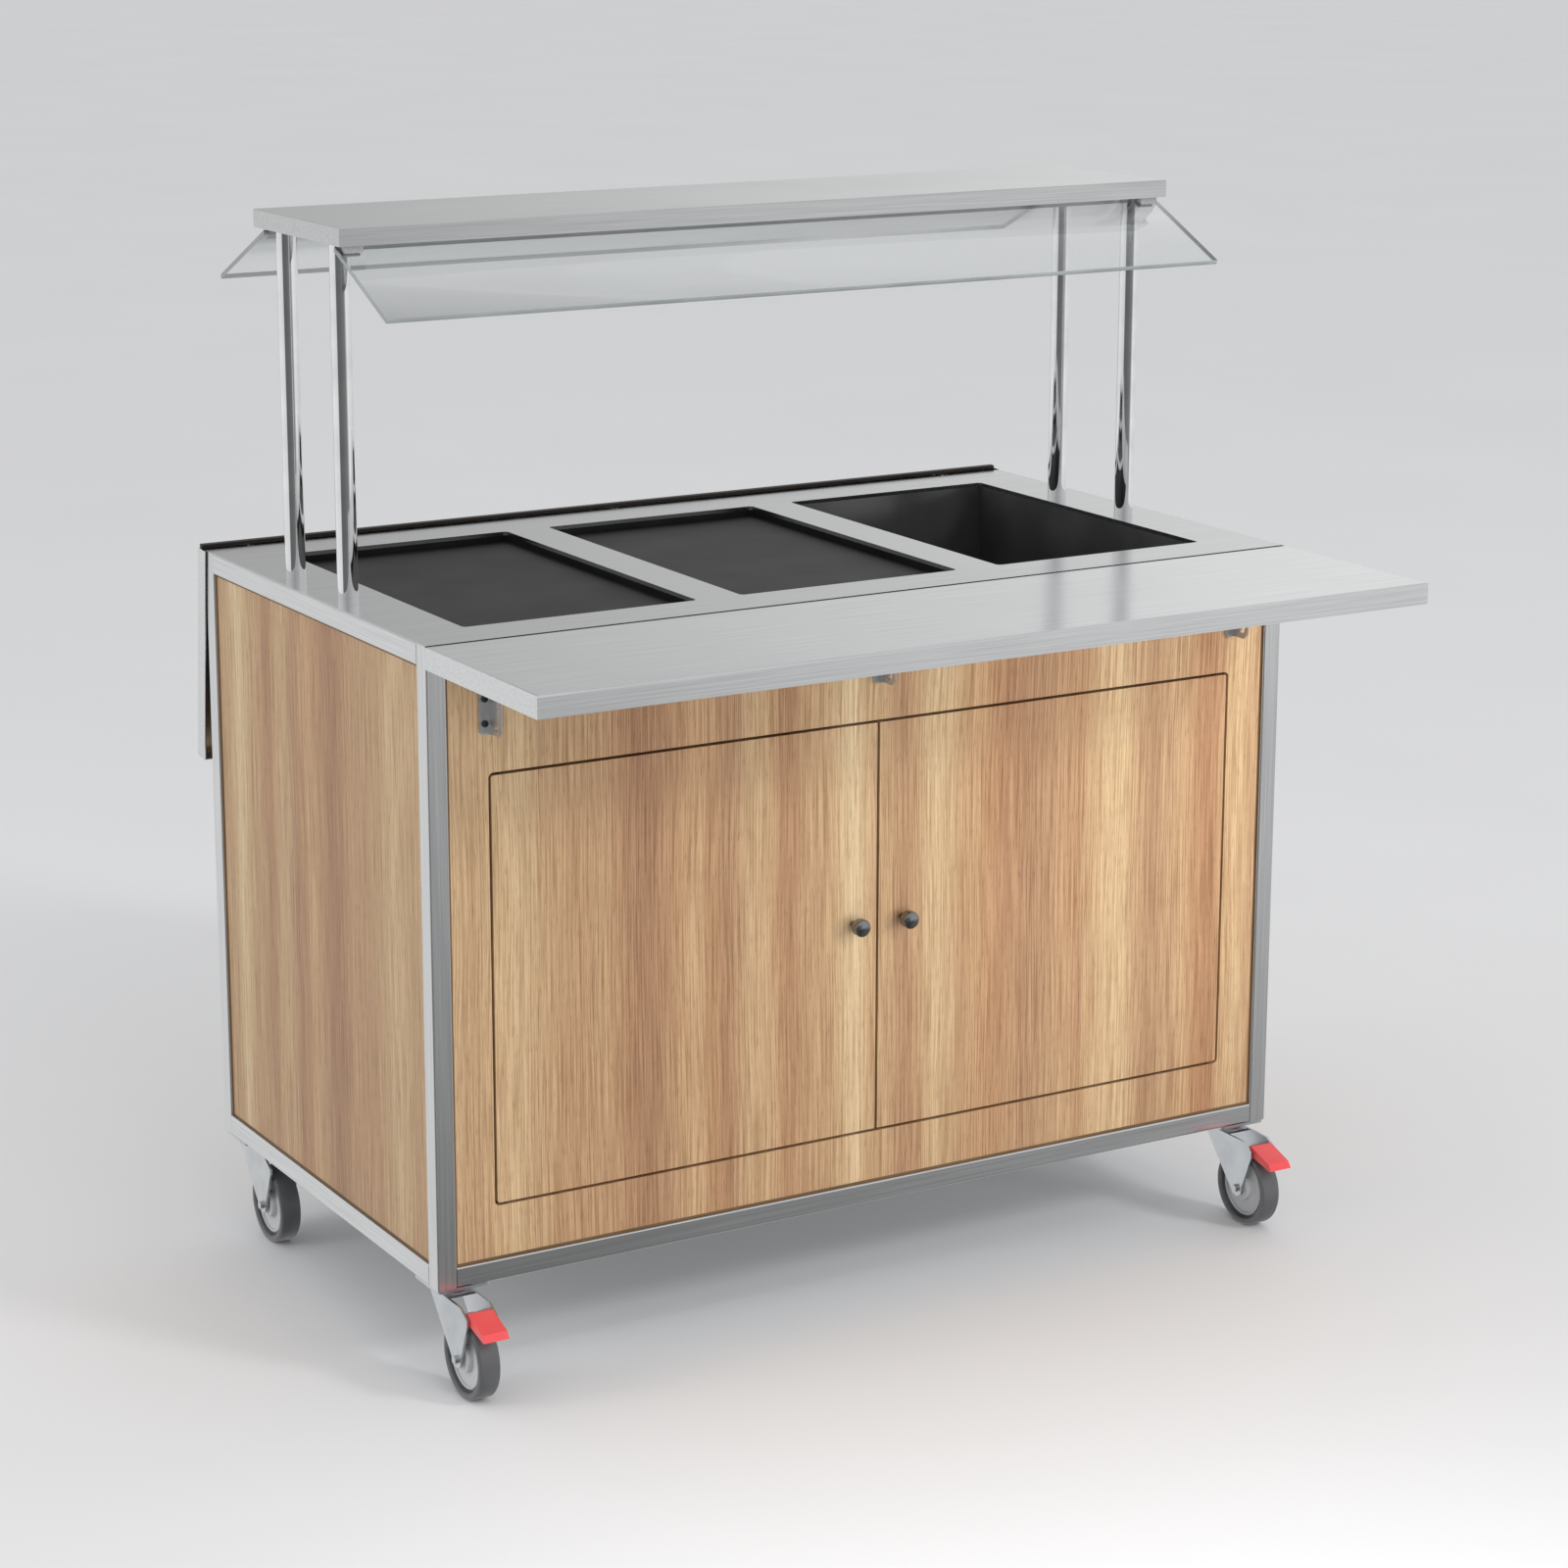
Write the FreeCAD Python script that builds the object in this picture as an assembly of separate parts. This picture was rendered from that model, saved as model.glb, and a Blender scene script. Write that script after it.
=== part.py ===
import FreeCAD, Part
import math
import os

# Mobile cold buffet counter. Millimetres, +Z up, +X along the length, the
# door side faces -Y. The origin is on the floor, below the middle of the
# whole object's outline, trays included.

V = FreeCAD.Vector

# Body
body_length = 1200.0
body_depth = 650.0
worktop_height = 900.0
tube = 25.0
tube_wall = 1.5
tube_round = 2.0
worktop_sheet = 1.5

# Panels and doors
panel_thickness = 16.0
panel_recess = 4.0
edging = 3.0
edging_depth = 10.0
door_side_margin = 77.5
door_low_margin = 90.0
door_high_margin = 157.0
door_gap = 3.5
door_corner = 3.0
door_pivot_inset = 12.0
door_pivot_depth = 7.0
door_pivot_radius = 3.0
door_pivot_hold = 14.0
knob_radius = 11.0
knob_length = 24.0
knob_inset = 33.0
knob_height = 492.0
catch_width = 44.0
catch_height = 14.0
catch_depth = 13.0
floor_sheet = 1.2

# Wells
well_land = 60.0
well_front_margin = 70.0
well_rear_margin = 74.0
well_corner = 6.0
well_rim = 5.0
cold_plate_drop = 12.0
cold_plate_sheet = 2.0
deep_well_drop = 160.0
liner_sheet = 1.5
foam_side = 26.0
foam_nut_gap = 7.0
foam_below_plate = 50.0
foam_below_deep = 30.0
coil_radius = 4.0
coil_bend = 10.0
coil_space = 10.0
coil_margin = 35.0
line_below = 20.0
ring_drop = 38.0
ring_step = 30.0
channel_clear = 0.5
coil_passes = 6
coil_turns = 3

# Overshelf, its posts and guards
gantry_shift = 48.0
gantry_post_radius = 12.5
gantry_post_spacing = 156.0
shelf_end_inset = 16.5
shelf_overhang = 48.5
shelf_rise = 442.0
shelf_lip = 22.0
shelf_sheet = 1.5
guard_end_inset = 3.5
guard_width = 157.0
guard_thickness = 6.0
guard_slope = 25.6
guard_tuck = 22.0
guard_drop = 2.0
clamp_width = 24.0
post_nut_radius = 10.0
post_nut_height = 8.0
post_nut_clear = 3.0
post_stud_radius = 5.0
post_stud_reach = 40.0

# Tray slides
tray_reach = 281.0
tray_lip = 26.0
tray_sheet = 1.2
tray_bend = 2.5
tray_side_clear = 1.0
tray_fold = 85.0
tray_pivot_out = 13.0
tray_pivot_drop = 8.0
seal_thickness = 4.0
seal_clear = 0.5
bracket_end_inset = 76.0
bracket_shift = 4.0
bracket_edge = 5.75
bracket_sheet = 2.5
bracket_flange = 14.0
bracket_out = 25.0
bracket_top_round = 6.0
bracket_clear = 1.0
bracket_screw_high = 69.0
bracket_screw_pitch = 29.0
arm_thickness = 3.0
arm_end_gap = 23.0
arm_heel = 40.0
arm_toe = 60.0
arm_below = 16.0
strut_thickness = 2.5
strut_half_width = 6.0
strut_reach = 39.0
strut_angle = 45.0
strut_ratio = 1.488
link_gap = 0.6
pin_radius = 3.0
slot_clear = 0.35
run_clear = 0.05
screw_head_radius = 4.0
screw_radius = 2.0
screw_length = 12.0

# Castors
wheel_radius = 50.0
wheel_width = 27.0
wheel_hub_radius = 15.0
wheel_hub_stand = 2.5
wheel_tyre = 9.0
wheel_web = 12.0
wheel_top_gap = 15.0
wheel_axle_radius = 5.0
caster_inset = 35.0
caster_trail = 50.0
caster_plate = 68.0
caster_plate_thickness = 4.0
caster_race_radius = 22.0
caster_race_height = 9.0
kingpin_radius = 7.0
fork_sheet = 3.0
fork_clear = 1.0
fork_back = 20.0
pedal_length = 46.0
pedal_pin_ahead = 22.0
pedal_pin_above = 6.0

# Condensing unit
unit_length = 360.0
unit_depth = 330.0
unit_end_gap = 70.0
unit_rear_gap = 100.0
unit_edge = 10.0
unit_sheet = 2.0
compressor_radius = 72.0
compressor_height = 165.0
compressor_edge = 25.0
grommet_radius = 10.0
grommet_height = 12.0
condenser_depth = 45.0
condenser_feed = 20.0
fin_count = 24
fin_sheet = 1.0
fan_radius = 95.0
fan_clear = 4.0
fan_side_land = 26.0
fan_top_land = 21.0
fan_housing_depth = 40.0
fan_housing_sheet = 2.0
fan_hub_radius = 30.0
fan_hub_length = 24.0
fan_hub_gap = 10.0
fan_blades = 5
blade_chord = 52.0
blade_sheet = 2.0
blade_turn = 22.0
motor_length = 30.0
motor_gap = 30.0
motor_shaft_radius = 4.0
motor_shaft_end = 2.0
spider_width = 12.0
spider_depth = 6.0

# Controls, vent, gland, drain
control_length = 170.0
control_height = 90.0
control_drop = 140.0
control_recess = 19.0
control_behind = 30.0
control_sheet = 1.5
control_frame = 10.0
dial_radius = 18.0
dial_length = 14.0
dial_skirt = 5.0
rocker_length = 26.0
rocker_width = 18.0
rocker_rise = 5.0
control_pin = 3.0
lug_sheet = 2.4
lug_clear = 0.5
lug_height = 8.0
vent_length = 320.0
vent_height = 220.0
vent_rise = 169.0
vent_frame = 12.0
vent_slots = 9
gland_radius = 10.0
gland_nut_height = 6.0
gland_cap_length = 10.0
gland_side = 60.0
gland_low = 20.0
drain_radius = 12.0
drain_length = 90.0
valve_rise = 35.0
valve_height = 36.0
lever_length = 70.0
spindle_radius = 3.0

# Sizes that follow from the ones above
half_length = body_length / 2
caster_height = (
    2 * wheel_radius + wheel_top_gap + fork_sheet + caster_race_height + caster_plate_thickness
)
gantry_post_inset = tube + post_nut_clear + post_nut_radius
well_end_margin = gantry_post_inset + post_nut_radius + foam_nut_gap + foam_side
well_length = (body_length - 2 * well_end_margin - 2 * well_land) / 3
well_pitch = well_length + well_land
well_depth = body_depth - well_front_margin - well_rear_margin
door_zone_length = body_length - 2 * door_side_margin
door_zone_bottom = caster_height + door_low_margin
door_zone_top = worktop_height - door_high_margin
shelf_length = body_length - 2 * shelf_end_inset
shelf_depth = gantry_post_spacing + 2 * shelf_overhang
shelf_top = worktop_height + shelf_rise
guard_length = shelf_length - 2 * guard_end_inset
bracket_pitch = half_length - bracket_end_inset
arm_length = tray_reach - tray_pivot_out - arm_end_gap
wheel_hub_width = wheel_width + 2 * wheel_hub_stand
fork_inside = wheel_hub_width + 2 * fork_clear
pedal_pin_out = caster_trail + pedal_pin_ahead
pedal_pin_height = 2 * wheel_radius + pedal_pin_above
condenser_length = 2 * (fan_radius + fan_clear + fan_side_land)
condenser_height = 2 * (fan_radius + fan_clear + fan_top_land)
unit_x = half_length - unit_end_gap - unit_length / 2
control_z = worktop_height - control_drop
vent_z = caster_height + vent_rise

# Reference planes
fold = math.radians(tray_fold)
tilt = math.radians(90.0 - tray_fold)
rear_reach = (
    tray_pivot_out
    + (tray_reach - tray_bend - tray_pivot_out) * math.sin(tilt)
    + (tray_pivot_drop - tray_bend) * math.cos(tilt)
    + tray_bend
)
body_y = (tray_reach - rear_reach) / 2
y_front = body_y - body_depth / 2
y_rear = body_y + body_depth / 2
z_base = caster_height
z_top = worktop_height
z_under = z_top - worktop_sheet
panel_back = panel_recess + panel_thickness
floor_top = z_base + tube + floor_sheet

parts = {}


def box(x0, x1, y0, y1, z0, z1):
    return Part.makeBox(x1 - x0, y1 - y0, z1 - z0, V(x0, y0, z0))


def cylinder(radius, start, direction, length):
    return Part.makeCylinder(radius, length, V(*start), V(*direction))


def group(solids):
    return Part.makeCompound(solids)


def joined(solids):
    shape = solids[0].multiFuse(solids[1:]) if len(solids) > 1 else solids[0]
    return shape.removeSplitter()


def edges_along(shape, axis):
    """The straight edges of a shape that run along one axis."""
    found = []
    for edge in shape.Edges:
        if len(edge.Vertexes) == 2:
            run = edge.Vertexes[1].Point - edge.Vertexes[0].Point
            if run.Length > 1e-6 and abs(abs(run.normalize().dot(axis)) - 1) < 1e-6:
                found.append(edge)
    return found


def rounded(shape, axis, radius):
    return shape.makeFillet(radius, edges_along(shape, V(*axis)))


def prism(points, plane, start, end):
    """A flat outline in the yz, xz or xy plane, drawn out along the third axis."""
    if plane == "yz":
        corners = [V(start, a, b) for a, b in points]
        run = V(end - start, 0, 0)
    elif plane == "xz":
        corners = [V(a, start, b) for a, b in points]
        run = V(0, end - start, 0)
    else:
        corners = [V(a, b, start) for a, b in points]
        run = V(0, 0, end - start)
    return Part.Face(Part.makePolygon(corners + corners[:1])).extrude(run)


def bent_tube(points, radius, bend):
    """A round bar along square-cornered points, with a bend at each corner."""
    corners = [V(*p) for p in points]
    pieces = []
    start = corners[0]
    for before, corner, after in zip(corners, corners[1:], corners[2:]):
        run = (corner - before).normalize()
        onward = (after - corner).normalize()
        end = corner - run * bend
        pieces.append(Part.makeCylinder(radius, (end - start).Length, start, run))
        ring = Part.Face(Part.Wire(Part.makeCircle(radius, end, run)))
        pieces.append(ring.revolve(end + onward * bend, run.cross(onward), 90))
        start = corner + onward * bend
    pieces.append(Part.makeCylinder(radius, (corners[-1] - start).Length, start, onward))
    return joined(pieces)


def to_rear(shape):
    """The same piece on the other long side: turned half round the body's middle."""
    turned = shape.copy()
    turned.rotate(V(0, body_y, 0), V(0, 0, 1), 180)
    return turned


# Frame

def tube_bar(x0, x1, y0, y1, z0, z1, axis):
    outer = rounded(box(x0, x1, y0, y1, z0, z1), axis, tube_round)
    dx, dy, dz = [0 if a else tube_wall for a in axis]
    return outer.cut(box(x0 + dx, x1 - dx, y0 + dy, y1 - dy, z0 + dz, z1 - dz))


posts = []
for x in (-half_length, half_length - tube):
    for y in (y_front, y_rear - tube):
        posts.append(tube_bar(x, x + tube, y, y + tube, z_base, z_under, (0, 0, 1)))
parts["frame_posts"] = group(posts)

long_rails = []
end_rails = []
for z in (z_base, z_under - tube):
    for y in (y_front, y_rear - tube):
        long_rails.append(
            tube_bar(tube - half_length, half_length - tube, y, y + tube, z, z + tube, (1, 0, 0))
        )
    for x in (-half_length, half_length - tube):
        end_rails.append(
            tube_bar(x, x + tube, y_front + tube, y_rear - tube, z, z + tube, (0, 1, 0))
        )
parts["frame_long_rails"] = group(long_rails)
parts["frame_end_rails"] = group(end_rails)

# Floor of the cupboard: a sheet on the bottom rails, notched round the posts
floor_edge = panel_back + 0.5
floor = box(
    floor_edge - half_length, half_length - floor_edge,
    y_front + floor_edge, y_rear - floor_edge, z_base + tube, floor_top,
)
for x in (-half_length, half_length - tube):
    for y in (y_front, y_rear - tube):
        notch = box(x - 0.5, x + tube + 0.5, y - 0.5, y + tube + 0.5, z_base, z_top)
        floor = floor.cut(notch)
parts["cupboard_floor"] = floor

# Panels, held in the frame by a rubber edging on all four sides
panel_low = z_base + tube
panel_high = z_under - tube
bay_x = half_length - tube
bay_y0 = y_front + tube
bay_y1 = y_rear - tube


def long_panel():
    return box(
        edging - bay_x, bay_x - edging, y_front + panel_recess, y_front + panel_back,
        panel_low + edging, panel_high - edging,
    )


def end_panel():
    return box(
        panel_recess - half_length, panel_back - half_length, bay_y0 + edging, bay_y1 - edging,
        panel_low + edging, panel_high - edging,
    )


def long_edging():
    y0 = y_front + panel_recess
    outer = box(-bay_x, bay_x, y0, y0 + edging_depth, panel_low, panel_high)
    inner = box(
        edging - bay_x, bay_x - edging, y0, y0 + edging_depth,
        panel_low + edging, panel_high - edging,
    )
    return outer.cut(inner)


def end_edging():
    x0 = panel_recess - half_length
    outer = box(x0, x0 + edging_depth, bay_y0, bay_y1, panel_low, panel_high)
    inner = box(
        x0, x0 + edging_depth, bay_y0 + edging, bay_y1 - edging,
        panel_low + edging, panel_high - edging,
    )
    return outer.cut(inner)


parts["panel_edging"] = group(
    [long_edging(), to_rear(long_edging()), end_edging(), to_rear(end_edging())]
)
parts["left_end_panel"] = end_panel()

# Tray brackets: where each cheek stands, and the screws in its flange
bracket_xs = [i * bracket_pitch + bracket_shift for i in (-1, 0, 1)]
flange_face = y_front + panel_recess - bracket_sheet
screw_heights = [
    z_top - bracket_screw_high,
    z_top - bracket_screw_high - bracket_screw_pitch,
]


def bracket_screw(x, z):
    shank = cylinder(screw_radius, (x, flange_face, z), (0, 1, 0), screw_length)
    head = cylinder(screw_head_radius, (x, flange_face - 2, z), (0, 1, 0), 2)
    socket = cylinder(screw_radius, (x, flange_face - 2.1, z), (0, 1, 0), 1.6)
    return joined([shank, head]).cut(socket)


screw_places = [(x - bracket_flange / 2, z) for x in bracket_xs for z in screw_heights]
screws = [bracket_screw(x, z) for x, z in screw_places]
screw_holes = [
    cylinder(screw_radius, (x, flange_face - 1, z), (0, 1, 0), screw_length + 1)
    for x, z in screw_places
]

# Front surround with the door opening and the seats of the pivot pins
zone = box(
    -door_zone_length / 2, door_zone_length / 2, y_front, y_front + 2 * panel_back,
    door_zone_bottom, door_zone_top,
)
zone = rounded(zone, (0, 1, 0), door_corner + door_gap)
door_width = (door_zone_length - 3 * door_gap) / 2
door_bottom = door_zone_bottom + door_gap
door_top = door_zone_top - door_gap
pivot_x = door_zone_length / 2 - door_gap - door_pivot_inset
pivot_y = y_front + panel_recess + door_pivot_depth


def pivot_pin(x, low):
    """One pin across the door gap, sunk in the surround and in the door."""
    start = (door_zone_bottom if low else door_zone_top) - door_pivot_hold
    reach = 2 * door_pivot_hold
    return cylinder(door_pivot_radius, (x, pivot_y, start), (0, 0, 1), reach)


pivot_pins = [pivot_pin(x, low) for x in (-pivot_x, pivot_x) for low in (True, False)]
surround = long_panel().cut(zone)
for hole in pivot_pins + screw_holes:
    surround = surround.cut(hole)
parts["front_surround"] = surround
parts["door_pivot_pins"] = group(pivot_pins)


def door(side):
    """One flush door; side is -1 for the left one and 1 for the right one."""
    inner = door_gap / 2
    outer = inner + door_width
    x0, x1 = (inner, outer) if side > 0 else (-outer, -inner)
    leaf = box(
        x0, x1, y_front + panel_recess, y_front + panel_back, door_bottom, door_top
    )
    outside = [e for e in edges_along(leaf, V(0, 1, 0)) if abs(abs(e.CenterOfMass.x) - outer) < 1]
    leaf = leaf.makeFillet(door_corner, outside)
    sunk = door_pivot_hold - door_gap + 1
    for z, way in ((door_bottom, 1), (door_top, -1)):
        socket = cylinder(
            door_pivot_radius + run_clear, (side * pivot_x, pivot_y, z), (0, 0, way), sunk
        )
        leaf = leaf.cut(socket)
    return leaf


parts["left_door"] = door(-1)
parts["right_door"] = door(1)


def knob(side):
    x = side * (door_gap / 2 + knob_inset)
    face = y_front + panel_recess
    foot = cylinder(knob_radius * 0.62, (x, face, knob_height), (0, -1, 0), 3)
    stem = cylinder(knob_radius * 0.42, (x, face, knob_height), (0, -1, 0), knob_length * 0.6)
    start = face - knob_length * 0.5
    head = cylinder(knob_radius, (x, start, knob_height), (0, -1, 0), knob_length * 0.5)
    head = head.makeFillet(3.0, [e for e in head.Edges if e.Closed])
    return joined([foot, stem, head])


parts["left_knob"] = knob(-1)
parts["right_knob"] = knob(1)

# Magnetic catches, screwed behind the surround above the doors' meeting edges
catches = []
for side in (-1, 1):
    x = side * (catch_width / 2 + 6)
    back = y_front + panel_back
    plate = box(
        x - catch_width / 2, x + catch_width / 2, back, back + 2,
        door_zone_top + 2, door_zone_top + 22,
    )
    body = box(
        x - catch_width / 2, x + catch_width / 2, back + 0.4, back + catch_depth,
        door_top - catch_height, door_zone_top + 2,
    )
    catches.append(joined([plate, body]))
parts["door_catches"] = group(catches)

# Rear panel with the vent opening and the gland's hole, right end panel with
# the opening of the control box
vent_x = unit_x
back_panel = to_rear(long_panel())
back_panel = back_panel.cut(
    box(
        vent_x - vent_length / 2 + vent_frame, vent_x + vent_length / 2 - vent_frame,
        y_rear - 2 * panel_back, y_rear, vent_z - vent_height / 2 + vent_frame,
        vent_z + vent_height / 2 - vent_frame,
    )
)
gland_x = vent_x - vent_length / 2 - gland_side
gland_z = vent_z - vent_height / 2 + gland_low
rear_face = y_rear - panel_recess
back_panel = back_panel.cut(
    cylinder(gland_radius, (gland_x, y_rear - 2 * panel_back, gland_z), (0, 1, 0), 3 * panel_back)
)
for hole in screw_holes:
    back_panel = back_panel.cut(to_rear(hole))
parts["rear_panel"] = back_panel

grille = box(
    vent_x - vent_length / 2, vent_x + vent_length / 2, rear_face, rear_face + 2,
    vent_z - vent_height / 2, vent_z + vent_height / 2,
)
slot_pitch = (vent_height - 4 * vent_frame) / vent_slots
for i in range(vent_slots):
    z = vent_z - vent_height / 2 + 2 * vent_frame + (i + 0.5) * slot_pitch
    slot = box(
        vent_x - vent_length / 2 + 2 * vent_frame, vent_x + vent_length / 2 - 2 * vent_frame,
        rear_face - 1, rear_face + 3, z - slot_pitch * 0.28, z + slot_pitch * 0.28,
    )
    grille = grille.cut(slot)
parts["vent_grille"] = grille

gland_length = panel_thickness + gland_nut_height
gland = cylinder(
    gland_radius, (gland_x, rear_face - gland_length, gland_z), (0, 1, 0), gland_length
)
gland_nut = prism(
    [
        (gland_x + 1.5 * gland_radius * math.cos(math.radians(a)),
         gland_z + 1.5 * gland_radius * math.sin(math.radians(a)))
        for a in range(0, 360, 60)
    ],
    "xz", rear_face, rear_face + gland_nut_height,
)
gland_cap = cylinder(
    gland_radius, (gland_x, rear_face + gland_nut_height, gland_z), (0, 1, 0), gland_cap_length
)
gland_bore = cylinder(
    gland_radius * 0.5, (gland_x, rear_face - gland_length - 1, gland_z), (0, 1, 0),
    gland_length + gland_nut_height + gland_cap_length + 2,
)
parts["cable_gland"] = joined([gland, gland_nut, gland_cap]).cut(gland_bore)

end_face = half_length - panel_recess


def control_block(grow, x0, x1):
    return box(
        x0, x1, body_y - control_length / 2 + grow, body_y + control_length / 2 - grow,
        control_z - control_height / 2 + grow, control_z + control_height / 2 - grow,
    )


right_panel = to_rear(end_panel())
right_panel = right_panel.cut(control_block(control_frame, end_face - 60, end_face + 10))
parts["right_end_panel"] = right_panel
control = joined(
    [
        control_block(0, end_face, end_face + control_sheet),
        control_block(control_frame, end_face - control_recess - control_behind, end_face),
    ]
)
control = control.cut(
    control_block(control_frame + control_sheet, end_face - control_recess, end_face + 2 * control_sheet)
)
control_face = end_face - control_recess
dial_y = body_y - control_length / 4
rocker_y = body_y + control_length / 4
rocker_axis = control_face + rocker_rise
dial_shaft = cylinder(control_pin, (control_face, dial_y, control_z), (1, 0, 0), dial_length - 4)
lug_in = rocker_width / 2 + lug_clear
rocker_pin = cylinder(
    control_pin / 2, (rocker_axis, rocker_y - lug_in - lug_sheet / 2, control_z),
    (0, 1, 0), 2 * lug_in + lug_sheet,
)
lugs = [
    box(
        control_face, rocker_axis + control_pin * 0.7, y, y + lug_sheet,
        control_z - lug_height / 2, control_z + lug_height / 2,
    )
    for y in (rocker_y - lug_in - lug_sheet, rocker_y + lug_in)
]
parts["control_box"] = joined([control, dial_shaft, rocker_pin] + lugs)

dial_foot = (control_face + 0.4, dial_y, control_z)
skirt = cylinder(dial_radius, dial_foot, (1, 0, 0), dial_skirt)
dial_grip = cylinder(dial_radius * 0.72, dial_foot, (1, 0, 0), dial_length)
dial_mark = box(
    control_face + dial_skirt, control_face + dial_length + 1, dial_y - 1.5, dial_y + 1.5,
    control_z, control_z + dial_radius * 0.9,
)
dial_bore = cylinder(
    control_pin + run_clear, (control_face, dial_y, control_z), (1, 0, 0), dial_length - 3
)
parts["thermostat_dial"] = joined([skirt, dial_grip, dial_mark]).cut(dial_bore)
# Corners as shares of the rocker's length and rise
rocker_outline = [
    (-0.5, 0.3), (-0.5, 1.2), (0, 0.8), (0.5, 0.32), (0.5, -0.4), (0, -0.52),
]
rocker = prism(
    [(rocker_axis + b * rocker_rise, control_z + a * rocker_length) for a, b in rocker_outline],
    "xz", rocker_y - rocker_width / 2, rocker_y + rocker_width / 2,
)
rocker_bore = cylinder(
    control_pin / 2 + run_clear, (rocker_axis, rocker_y - rocker_width, control_z),
    (0, 1, 0), 2 * rocker_width,
)
parts["rocker_switch"] = rocker.cut(rocker_bore)

# Worktop with three rimmed openings
well_y0 = y_front + well_front_margin
well_y1 = well_y0 + well_depth
well_xs = [i * well_pitch for i in (-1, 0, 1)]


def well_block(x, grow, z0, z1):
    block = box(
        x - well_length / 2 - grow, x + well_length / 2 + grow,
        well_y0 - grow, well_y1 + grow, z0, z1,
    )
    return rounded(block, (0, 0, 1), well_corner + grow)


worktop = box(-half_length, half_length, y_front, y_rear, z_under, z_top)
rims = [well_block(x, worktop_sheet, z_top - well_rim, z_top) for x in well_xs]
worktop = joined([worktop] + rims)
for x in well_xs:
    worktop = worktop.cut(well_block(x, 0, z_top - 2 * well_rim, z_top + 1))

gantry_y = body_y + gantry_shift
gantry_places = [
    (x, gantry_y + dy)
    for x in (gantry_post_inset - half_length, half_length - gantry_post_inset)
    for dy in (-gantry_post_spacing / 2, gantry_post_spacing / 2)
]
for x, y in gantry_places:
    worktop = worktop.cut(
        cylinder(post_stud_radius, (x, y, z_under - 1), (0, 0, 1), worktop_sheet + 2)
    )
parts["worktop"] = worktop

plate_under = z_top - cold_plate_drop - cold_plate_sheet


def cold_plate(x):
    pan = well_block(x, worktop_sheet, plate_under, z_top - well_rim)
    return pan.cut(well_block(x, 0, z_top - cold_plate_drop, z_top))


parts["cold_plates"] = group([cold_plate(x) for x in well_xs[:2]])

deep_x = well_xs[2]
deep_under = z_top - deep_well_drop - liner_sheet
drain_y = (well_y0 + well_y1) / 2


def pan_side(x, side):
    """The outer face of a well's pan; side is -1 for its left and 1 for its right."""
    return x + side * (well_length / 2 + worktop_sheet)


# A tank of five welded sheets: its floor between two ends and two sides
pan_y0 = well_y0 - worktop_sheet
pan_y1 = well_y1 + worktop_sheet
deep_x0 = deep_x - well_length / 2
deep_x1 = deep_x + well_length / 2
deep_floor = z_top - deep_well_drop
liner_top = z_top - well_rim
tank_floor = box(deep_x0, deep_x1, well_y0, well_y1, deep_under, deep_floor)
tank_floor = tank_floor.cut(
    cylinder(drain_radius, (deep_x, drain_y, deep_under - 1), (0, 0, 1), liner_sheet + 2)
)
tank = [
    tank_floor,
    box(pan_side(deep_x, -1), deep_x0, pan_y0, pan_y1, deep_under, liner_top),
    box(deep_x1, pan_side(deep_x, 1), pan_y0, pan_y1, deep_under, liner_top),
    box(deep_x0, deep_x1, pan_y0, well_y0, deep_under, liner_top),
    box(deep_x0, deep_x1, well_y1, pan_y1, deep_under, liner_top),
]
parts["deep_well"] = group(tank)

# Refrigerant tube: up from the condenser and behind the foam, to and fro under
# both cold plates, three turns round the deep well, and down to the compressor
coil_z = plate_under - coil_radius
unit_y = y_rear - unit_rear_gap - unit_depth / 2
unit_base_top = floor_top + unit_sheet
compressor_x = unit_x + unit_length / 2 - compressor_radius - compressor_edge
compressor_y = unit_y - unit_depth / 2 + compressor_radius + compressor_edge
compressor_low = unit_base_top + grommet_height
compressor_top = compressor_low + compressor_height
condenser_x0 = unit_x - unit_length / 2 + unit_edge
condenser_y1 = unit_y + unit_depth / 2 - unit_edge
condenser_y0 = condenser_y1 - condenser_depth
condenser_top = unit_base_top + condenser_height
foam_y0 = well_y0 - foam_side
foam_y1 = well_y1 + foam_side
foam_plates_low = plate_under - foam_below_plate
foam_deep_low = deep_under - foam_below_deep
feed_x = condenser_x0 + condenser_feed
feed_y = condenser_y0 + condenser_depth / 2
riser_y = (foam_y1 + y_rear - panel_back) / 2
line_z = foam_plates_low - line_below
deep_line_z = foam_deep_low - line_below
pass_pitch = (well_length - 2 * coil_margin) / (coil_passes - 1)
coil_y0 = well_y0 + coil_margin
coil_y1 = well_y1 - coil_margin
start_x = well_xs[0] - well_length / 2 + coil_margin
tube_points = [
    (feed_x, feed_y, condenser_top), (feed_x, feed_y, deep_line_z), (feed_x, riser_y, deep_line_z),
    (feed_x, riser_y, line_z), (start_x, riser_y, line_z), (start_x, coil_y0, line_z),
]
for x in well_xs[:2]:
    for i in range(coil_passes):
        px = x - well_length / 2 + coil_margin + i * pass_pitch
        ends = [coil_y0, coil_y1] if i % 2 == 0 else [coil_y1, coil_y0]
        tube_points += [(px, y, coil_z) for y in ends]
# Half the width of a square channel that holds the tube's bends too. The turns
# stand as far off the tank, so that their bends pass its corners.
channel_half = coil_bend - (coil_bend - coil_radius) * math.cos(math.pi / 4) + channel_clear
turn_gap = worktop_sheet + channel_half
ring_x0 = deep_x - well_length / 2 - turn_gap
ring_x1 = deep_x + well_length / 2 + turn_gap
ring_y0 = well_y0 - turn_gap
ring_y1 = well_y1 + turn_gap
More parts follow.
